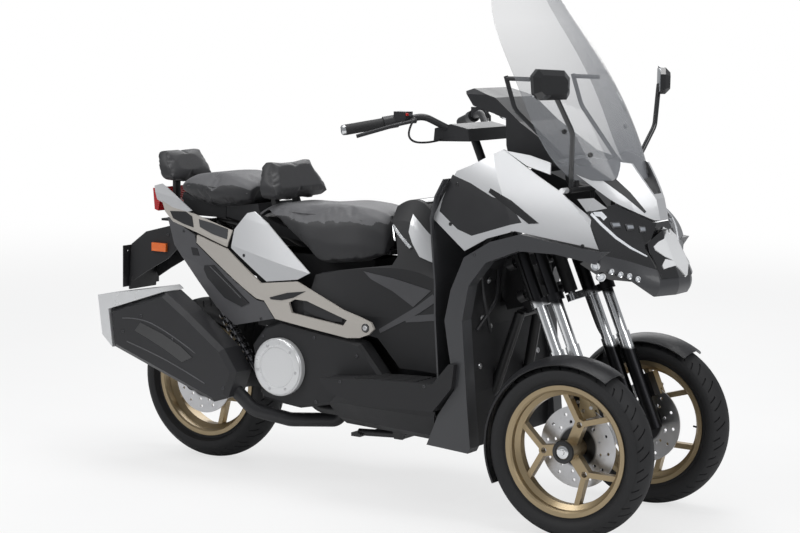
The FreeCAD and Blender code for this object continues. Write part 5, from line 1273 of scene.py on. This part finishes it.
class ScooterBody(bpy.types.Operator):
    """Adds the body's panels, slots, ribs and screws"""
    bl_idname = "scooter.body"
    bl_label = "Body details"

    def execute(self, context):
        """Makes the body details."""
        finishes = painter["finishes"]
        self.trims(finishes)
        self.skirts(finishes)
        self.tunnel(finishes)
        self.footboards(finishes)
        self.engine(finishes)
        self.arch(finishes)
        screws("body_screws", other_side(
            spots(["side_panels"], [(0.245, 0.765)])
            + spots(["arch_surrounds"], [(0.668, 0.700), (0.664, 0.520), (0.720, 0.850)])
            + spots(["footboards"], [(0.480, 0.400), (0.640, 0.420)])
            + spots(["rear_fender"], [(0.020, 0.790)])
            + spots(["tail_skirts"], [(0.290, 0.560), (0.090, 0.820)])),
            context.scene.scooter_sizes.bolt_radius, finishes["dark_alloy"])
        return {"FINISHED"}

    def trims(self, finishes):
        """The dark panels, windows, covers, facets and bolts in the frame trims and rails."""
        back = flat_strip([(0.330, -0.231, 0.650), (0.372, -0.229, 0.675),
                           (0.430, -0.228, 0.630), (0.480, -0.227, 0.590)],
                          [(0.345, -0.231, 0.590), (0.372, -0.229, 0.575),
                           (0.430, -0.228, 0.558), (0.470, -0.227, 0.548)], from_right, 0.006)
        raised = flat_strip([(0.372, -0.236, 0.640), (0.392, -0.236, 0.640),
                             (0.430, -0.235, 0.612), (0.452, -0.234, 0.594)],
                            [(0.374, -0.236, 0.605), (0.392, -0.236, 0.590),
                             (0.430, -0.235, 0.576), (0.450, -0.234, 0.578)], from_right, 0.008)
        rear = flat_strip([(0.200, -0.190, 0.835), (0.260, -0.195, 0.790),
                           (0.335, -0.200, 0.720)],
                          [(0.190, -0.190, 0.770), (0.250, -0.195, 0.700),
                           (0.330, -0.200, 0.655)], from_right, 0.004)
        lower = flat_strip([(0.262, -0.205, 0.610), (0.340, -0.205, 0.600)],
                           [(0.270, -0.205, 0.530), (0.345, -0.205, 0.540)], from_right, 0.004)
        slit = flat_strip([(0.120, -0.160, 0.835), (0.165, -0.176, 0.830),
                           (0.206, -0.190, 0.815)],
                          [(0.125, -0.160, 0.780), (0.165, -0.176, 0.765),
                           (0.206, -0.190, 0.750)], from_right, 0.004)
        pair([back, rear, lower, slit], "trim_inner_panels", finishes["plastic"])
        window = laid_strip(["grab_rails"], [(0.050, 0.884), (0.090, 0.888), (0.108, 0.874)],
                            [(0.060, 0.860), (0.088, 0.846), (0.116, 0.838)])
        pair([window], "rail_windows", finishes["plastic"])
        cover = laid_strip(["grab_rails"], [(0.126, 0.868), (0.160, 0.860), (0.200, 0.846)],
                           [(0.132, 0.842), (0.165, 0.824), (0.202, 0.812)])
        pair([cover], "rail_covers", finishes["arch"])
        pair([raised], "trim_inner_pads", finishes["smooth_plastic"])
        facet = laid_strip(["frame_trims"], [(0.311, 0.637), (0.345, 0.658), (0.380, 0.668)],
                           [(0.314, 0.631), (0.336, 0.632), (0.358, 0.644)])
        pair([facet], "trim_dark_facets", finishes["smooth_plastic"])
        spot, way = surface(["frame_trims"], at(0.497, 0.567, beside), from_right)
        ring = turned([(0.0, 0.0012), (0.0135, 0.0012), (0.0150, 0.0), (0.0150, -0.003),
                       (0.0, -0.003)], spot, way, 30)
        bolt = turned([(0.0, 0.0022), (0.0042, 0.0022), (0.0048, 0.0042), (0.0080, 0.0042),
                       (0.0090, 0.0030), (0.0090, 0.0), (0.0, 0.0)], spot, way, 24)
        pair([ring], "trim_bolt_recesses", finishes["lamp_dark"])
        pair([bolt], "trim_bolts", finishes["steel"])

    def skirts(self, finishes):
        """The tail skirts' recesses, as dark strips of painted shade, and their bright edges."""
        # Dark strips painted on the grey skirts as the shade inside their recesses
        slot = laid_strip(["tail_skirts"], [(0.152, 0.714), (0.176, 0.720), (0.222, 0.664),
                                            (0.264, 0.608)],
                          [(0.150, 0.700), (0.160, 0.672), (0.204, 0.614), (0.246, 0.592)],
                          lift=0.0035, thickness=0.008, cuts=8)
        upper = laid_strip(["tail_skirts"], [(0.112, 0.768), (0.128, 0.768)],
                           [(0.118, 0.742), (0.136, 0.744)], cuts=2)
        pair([slot, upper], "skirt_recess_painted_shade", finishes["plastic"])
        edge = tube(on_side(["tail_skirts"], [(0.168, 0.713), (0.196, 0.684), (0.224, 0.650),
                                              (0.246, 0.622)], 0.004), 0.0020)
        pair([edge], "skirt_edges", finishes["arch"])

    def tunnel(self, finishes):
        """The painted reflection and the painted highlight strips on the tunnel's hump, and the
        facets below them.
        """
        # A silver panel painted where the gloss black hump shows the reflection of the softbox
        cover = laid_strip(["tunnel"], [(0.546, 0.938), (0.562, 0.912), (0.582, 0.875),
                                        (0.604, 0.830)],
                           [(0.546, 0.880), (0.556, 0.845), (0.572, 0.805), (0.598, 0.787)],
                           cuts=8, lift=0.003, thickness=0.007)
        pair([cover], "hump_painted_reflections", finishes["panel"])
        # A bright metal strip painted where the gloss hump shows a highlight
        line = laid_strip(["tunnel"], [(0.515, 0.902), (0.536, 0.868), (0.557, 0.835)],
                          [(0.511, 0.896), (0.532, 0.862), (0.553, 0.829)], lift=0.006,
                          thickness=0.008)
        pair([line], "hump_painted_highlight_strips", finishes["bright"])
        facet = laid_strip(["tunnel"], [(0.476, 0.745), (0.530, 0.730), (0.600, 0.700)],
                           [(0.490, 0.722), (0.530, 0.688), (0.568, 0.642)], lift=0.002)
        edge = laid_strip(["tunnel"], [(0.604, 0.690), (0.572, 0.642), (0.508, 0.560)],
                          [(0.612, 0.668), (0.580, 0.624), (0.510, 0.547)], lift=0.002)
        low = laid_strip(["tunnel"], [(0.552, 0.604), (0.575, 0.616), (0.612, 0.628)],
                         [(0.556, 0.590), (0.580, 0.596), (0.612, 0.606)], lift=0.002)
        pair([facet, edge, low], "tunnel_facets", finishes["grey_plastic"])

    def footboards(self, finishes):
        """The rubber ribs that the feet stand on."""
        ribs = []
        for number in range(6):
            y = -0.185 - 0.022 * number
            ribs.append(laid_strip(["footboards"], [(0.500, y, 0.5), (0.560, y, 0.5),
                                                    (0.620, y, 0.5)],
                                   [(0.500, y - 0.010, 0.5), (0.560, y - 0.010, 0.5),
                                    (0.620, y - 0.010, 0.5)], from_above, 0.0025, 0.004, 1))
        pair(ribs, "footboard_ribs", finishes["grip"])

    def arch(self, finishes):
        """The hoses and bolts inside the front arch."""
        hoses = []
        for line in ([(0.705, -0.215, 0.820), (0.714, -0.232, 0.740), (0.713, -0.200, 0.650),
                      (0.704, -0.140, 0.585)],
                     [(0.705, -0.105, 0.780), (0.714, -0.130, 0.700), (0.714, -0.185, 0.655),
                      (0.704, -0.228, 0.600)]):
            hoses.append(tube(places(line), 0.0060, smooth_steps=8))
        pair(hoses, "arch_hoses", finishes["smooth_plastic"])
        screws("arch_bolts", other_side(spots(
            ["arch_liner"], [(0.9, -0.156, 0.628), (0.9, -0.104, 0.596), (0.9, -0.190, 0.480),
                             (0.9, -0.120, 0.745)], from_front)), 0.0100, finishes["steel"])

    def engine(self, finishes):
        """The case cap's step, the covers' screws, and the muffler's guard and ridges."""
        centre = case_centre
        way = -from_right
        ring = turned([(0.066, 0.0), (0.070, 0.0045), (0.086, 0.0050), (0.092, 0.0030),
                       (0.094, 0.0), (0.094, -0.002), (0.066, -0.002)], centre, way, 72)
        settle(ring, "case_cap_step", finishes["cap"], "root")
        found = []
        for degrees in (-62, -8, 46, 118, 190, 250):
            angle = math.radians(degrees)
            found.append((centre + Vector((0.0785 * math.cos(angle), -0.0046,
                                           0.0785 * math.sin(angle))), way))
        screws("case_cap_screws", found, 0.0050, finishes["steel"])
        screws("case_cover_screws", other_side(spots(
            ["case_covers"], [(0.290, 0.500), (0.395, 0.515), (0.480, 0.470), (0.500, 0.330),
                              (0.400, 0.300), (0.285, 0.310)])), 0.0060, finishes["dark_alloy"])
        guard = laid_strip(["muffler"], [(0.061, 0.513), (0.110, 0.482), (0.150, 0.446),
                                         (0.174, 0.414)],
                           [(0.048, 0.482), (0.080, 0.458), (0.114, 0.430), (0.152, 0.393)],
                           lift=0.0025)
        settle(guard, "muffler_guard", finishes["gloss"], "root")
        lines = []
        for shares in ([(0.020, 0.520), (0.060, 0.530), (0.120, 0.490), (0.190, 0.420),
                        (0.262, 0.330)], [(0.030, 0.440), (0.090, 0.410), (0.150, 0.370),
                                          (0.200, 0.330)]):
            lines.append(tube(on_side(["muffler"], shares, 0.0), 0.0022, smooth_steps=5))
        settle(join(lines), "muffler_ridges", finishes["grey_plastic"], "root")
        screws("muffler_screws", spots(["muffler"], [(0.130, 0.466), (0.021, 0.474),
                                                     (0.239, 0.322), (0.061, 0.535)]),
               0.0060, finishes["dark_alloy"])


class ScooterCockpit(bpy.types.Operator):
    """Adds dials, switches, bar ends, hoses and mirror glasses"""
    bl_idname = "scooter.cockpit"
    bl_label = "Cockpit"

    def execute(self, context):
        """Makes the cockpit's small parts."""
        finishes = painter["finishes"]
        spot, way = surface(["dash"], Vector((0.4, 0.0, 1.27)), from_behind)
        console = block(spot + way * 0.002, way, 0.200, 0.085, 0.012, 0.005)
        settle(console, "instrument_console", finishes["lamp_dark"], "root")
        for y in (-0.062, 0.062):
            place, way = surface(["dash"], Vector((0.4, y, 1.27)), from_behind)
            place = place + way * 0.008
            rim = turned([(0.032, 0.001), (0.033, 0.004), (0.036, 0.004), (0.038, 0.0),
                          (0.038, -0.003), (0.032, -0.003)], place, way, 40)
            word = "right" if y < 0 else "left"
            settle(rim, "dial_rim_" + word, finishes["bright"], "root")
            face = turned([(0.0, 0.002), (0.006, 0.002), (0.007, 0.0012), (0.032, 0.0012),
                           (0.032, -0.002), (0.0, -0.002)], place, way, 40)
            settle(face, "dial_face_" + word, finishes["dial"], "root")
        for side, word in ((-1, "right"), (1, "left")):
            inward = Vector((0.70026, -side * 0.69257, 0.17314))
            end = Vector((0.03325, side * 0.360, 1.217))
            ring = turned([(0.0086, 0.011), (0.0120, 0.0125), (0.0160, 0.009), (0.0168, 0.002),
                           (0.0168, -0.002), (0.0086, -0.002)], end, -inward, 28)
            settle(ring, "bar_end_" + word, finishes["bright"], "handlebar")
            for number, (z, y, tone) in enumerate(((1.269, 0.2555, "red"),
                                                   (1.266, 0.236, "grey_plastic"))):
                place, way = surface(["handlebar"], at(0.576, z, side * y), from_front)
                shade = tone if side < 0 else "grey_plastic"
                key = block(place, way, 0.013, 0.009, 0.008, 0.002)
                settle(key, "switch_%s_%d" % (word, number), finishes[shade], "handlebar")
            line = [Vector((x, side * y, z)) for x, y, z in (
                (0.214, 0.243, 1.250), (0.204, 0.262, 1.214), (0.214, 0.250, 1.182),
                (0.236, 0.190, 1.178), (0.252, 0.110, 1.188), (0.262, 0.055, 1.198))]
            settle(tube(line, 0.0034, smooth_steps=8), "bar_hose_" + word,
                   finishes["smooth_plastic"], "handlebar")
            place, way = surface(["mirrors"], Vector((0.6, side * 0.38, 1.385)), from_behind)
            glass = block(place + way * 0.0004, way, 0.108, 0.074, 0.003, 0.0012)
            settle(glass, "mirror_glass_" + word, finishes["mirror"], "root")
        return {"FINISHED"}


class ScooterTail(bpy.types.Operator):
    """Adds the blank plate and the tail lamp's rings"""
    bl_idname = "scooter.tail"
    bl_label = "Tail details"

    def execute(self, context):
        """Makes the tail's small parts."""
        finishes = painter["finishes"]
        place, way = surface(["rear_fender"], Vector((-1.2, 0.0, 0.660)), from_behind)
        plate = block(place + way * 0.0005, way, 0.184, 0.104, 0.002, 0.0008)
        settle(plate, "blank_plate", finishes["plate"], "root")
        rings = []
        for y in (-0.055, 0.055):
            spot, way = surface(["tail_lamp"], Vector((-1.0, y, 0.905)), from_behind)
            rings.append(turned([(0.014, 0.0), (0.015, 0.003), (0.019, 0.003), (0.021, 0.0),
                                 (0.021, -0.003), (0.014, -0.003)], spot, way, 32))
        settle(join(rings), "tail_lamp_rings", finishes["tail"], "root")
        return {"FINISHED"}


steps_in_order = ["stage", "finishes", "tyres", "seats", "wheels", "nose", "body", "cockpit",
                  "tail"]


class ScooterPanel(bpy.types.Panel):
    """Lists the steps and the values of the dressing"""
    bl_idname = "VIEW3D_PT_scooter"
    bl_label = "Three-wheeled scooter"
    bl_space_type = "VIEW_3D"
    bl_region_type = "UI"
    bl_category = "Scooter"

    def draw(self, context):
        """Draws the buttons and the values."""
        for step in steps_in_order:
            self.layout.operator("scooter." + step)
        for group in (context.scene.scooter_colours, context.scene.scooter_sizes):
            for name in group.__annotations__:
                self.layout.prop(group, name)


classes = [ScooterColours, ScooterSizes, ScooterStage, ScooterFinishes, ScooterTyres,
           ScooterSeats, ScooterWheels, ScooterNose, ScooterBody, ScooterCockpit, ScooterTail,
           ScooterPanel]


def register():
    """Registers the classes and the scene's values."""
    for each in classes:
        bpy.utils.register_class(each)
    bpy.types.Scene.scooter_colours = bpy.props.PointerProperty(type=ScooterColours)
    bpy.types.Scene.scooter_sizes = bpy.props.PointerProperty(type=ScooterSizes)


def unregister():
    """Takes the classes and the scene's values away again."""
    del bpy.types.Scene.scooter_sizes
    del bpy.types.Scene.scooter_colours
    for each in reversed(classes):
        bpy.utils.unregister_class(each)


def main():
    """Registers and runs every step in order."""
    register()
    for step in steps_in_order:
        getattr(bpy.ops.scooter, step)()
    clear_selection()


if __name__ == "__main__":
    main()
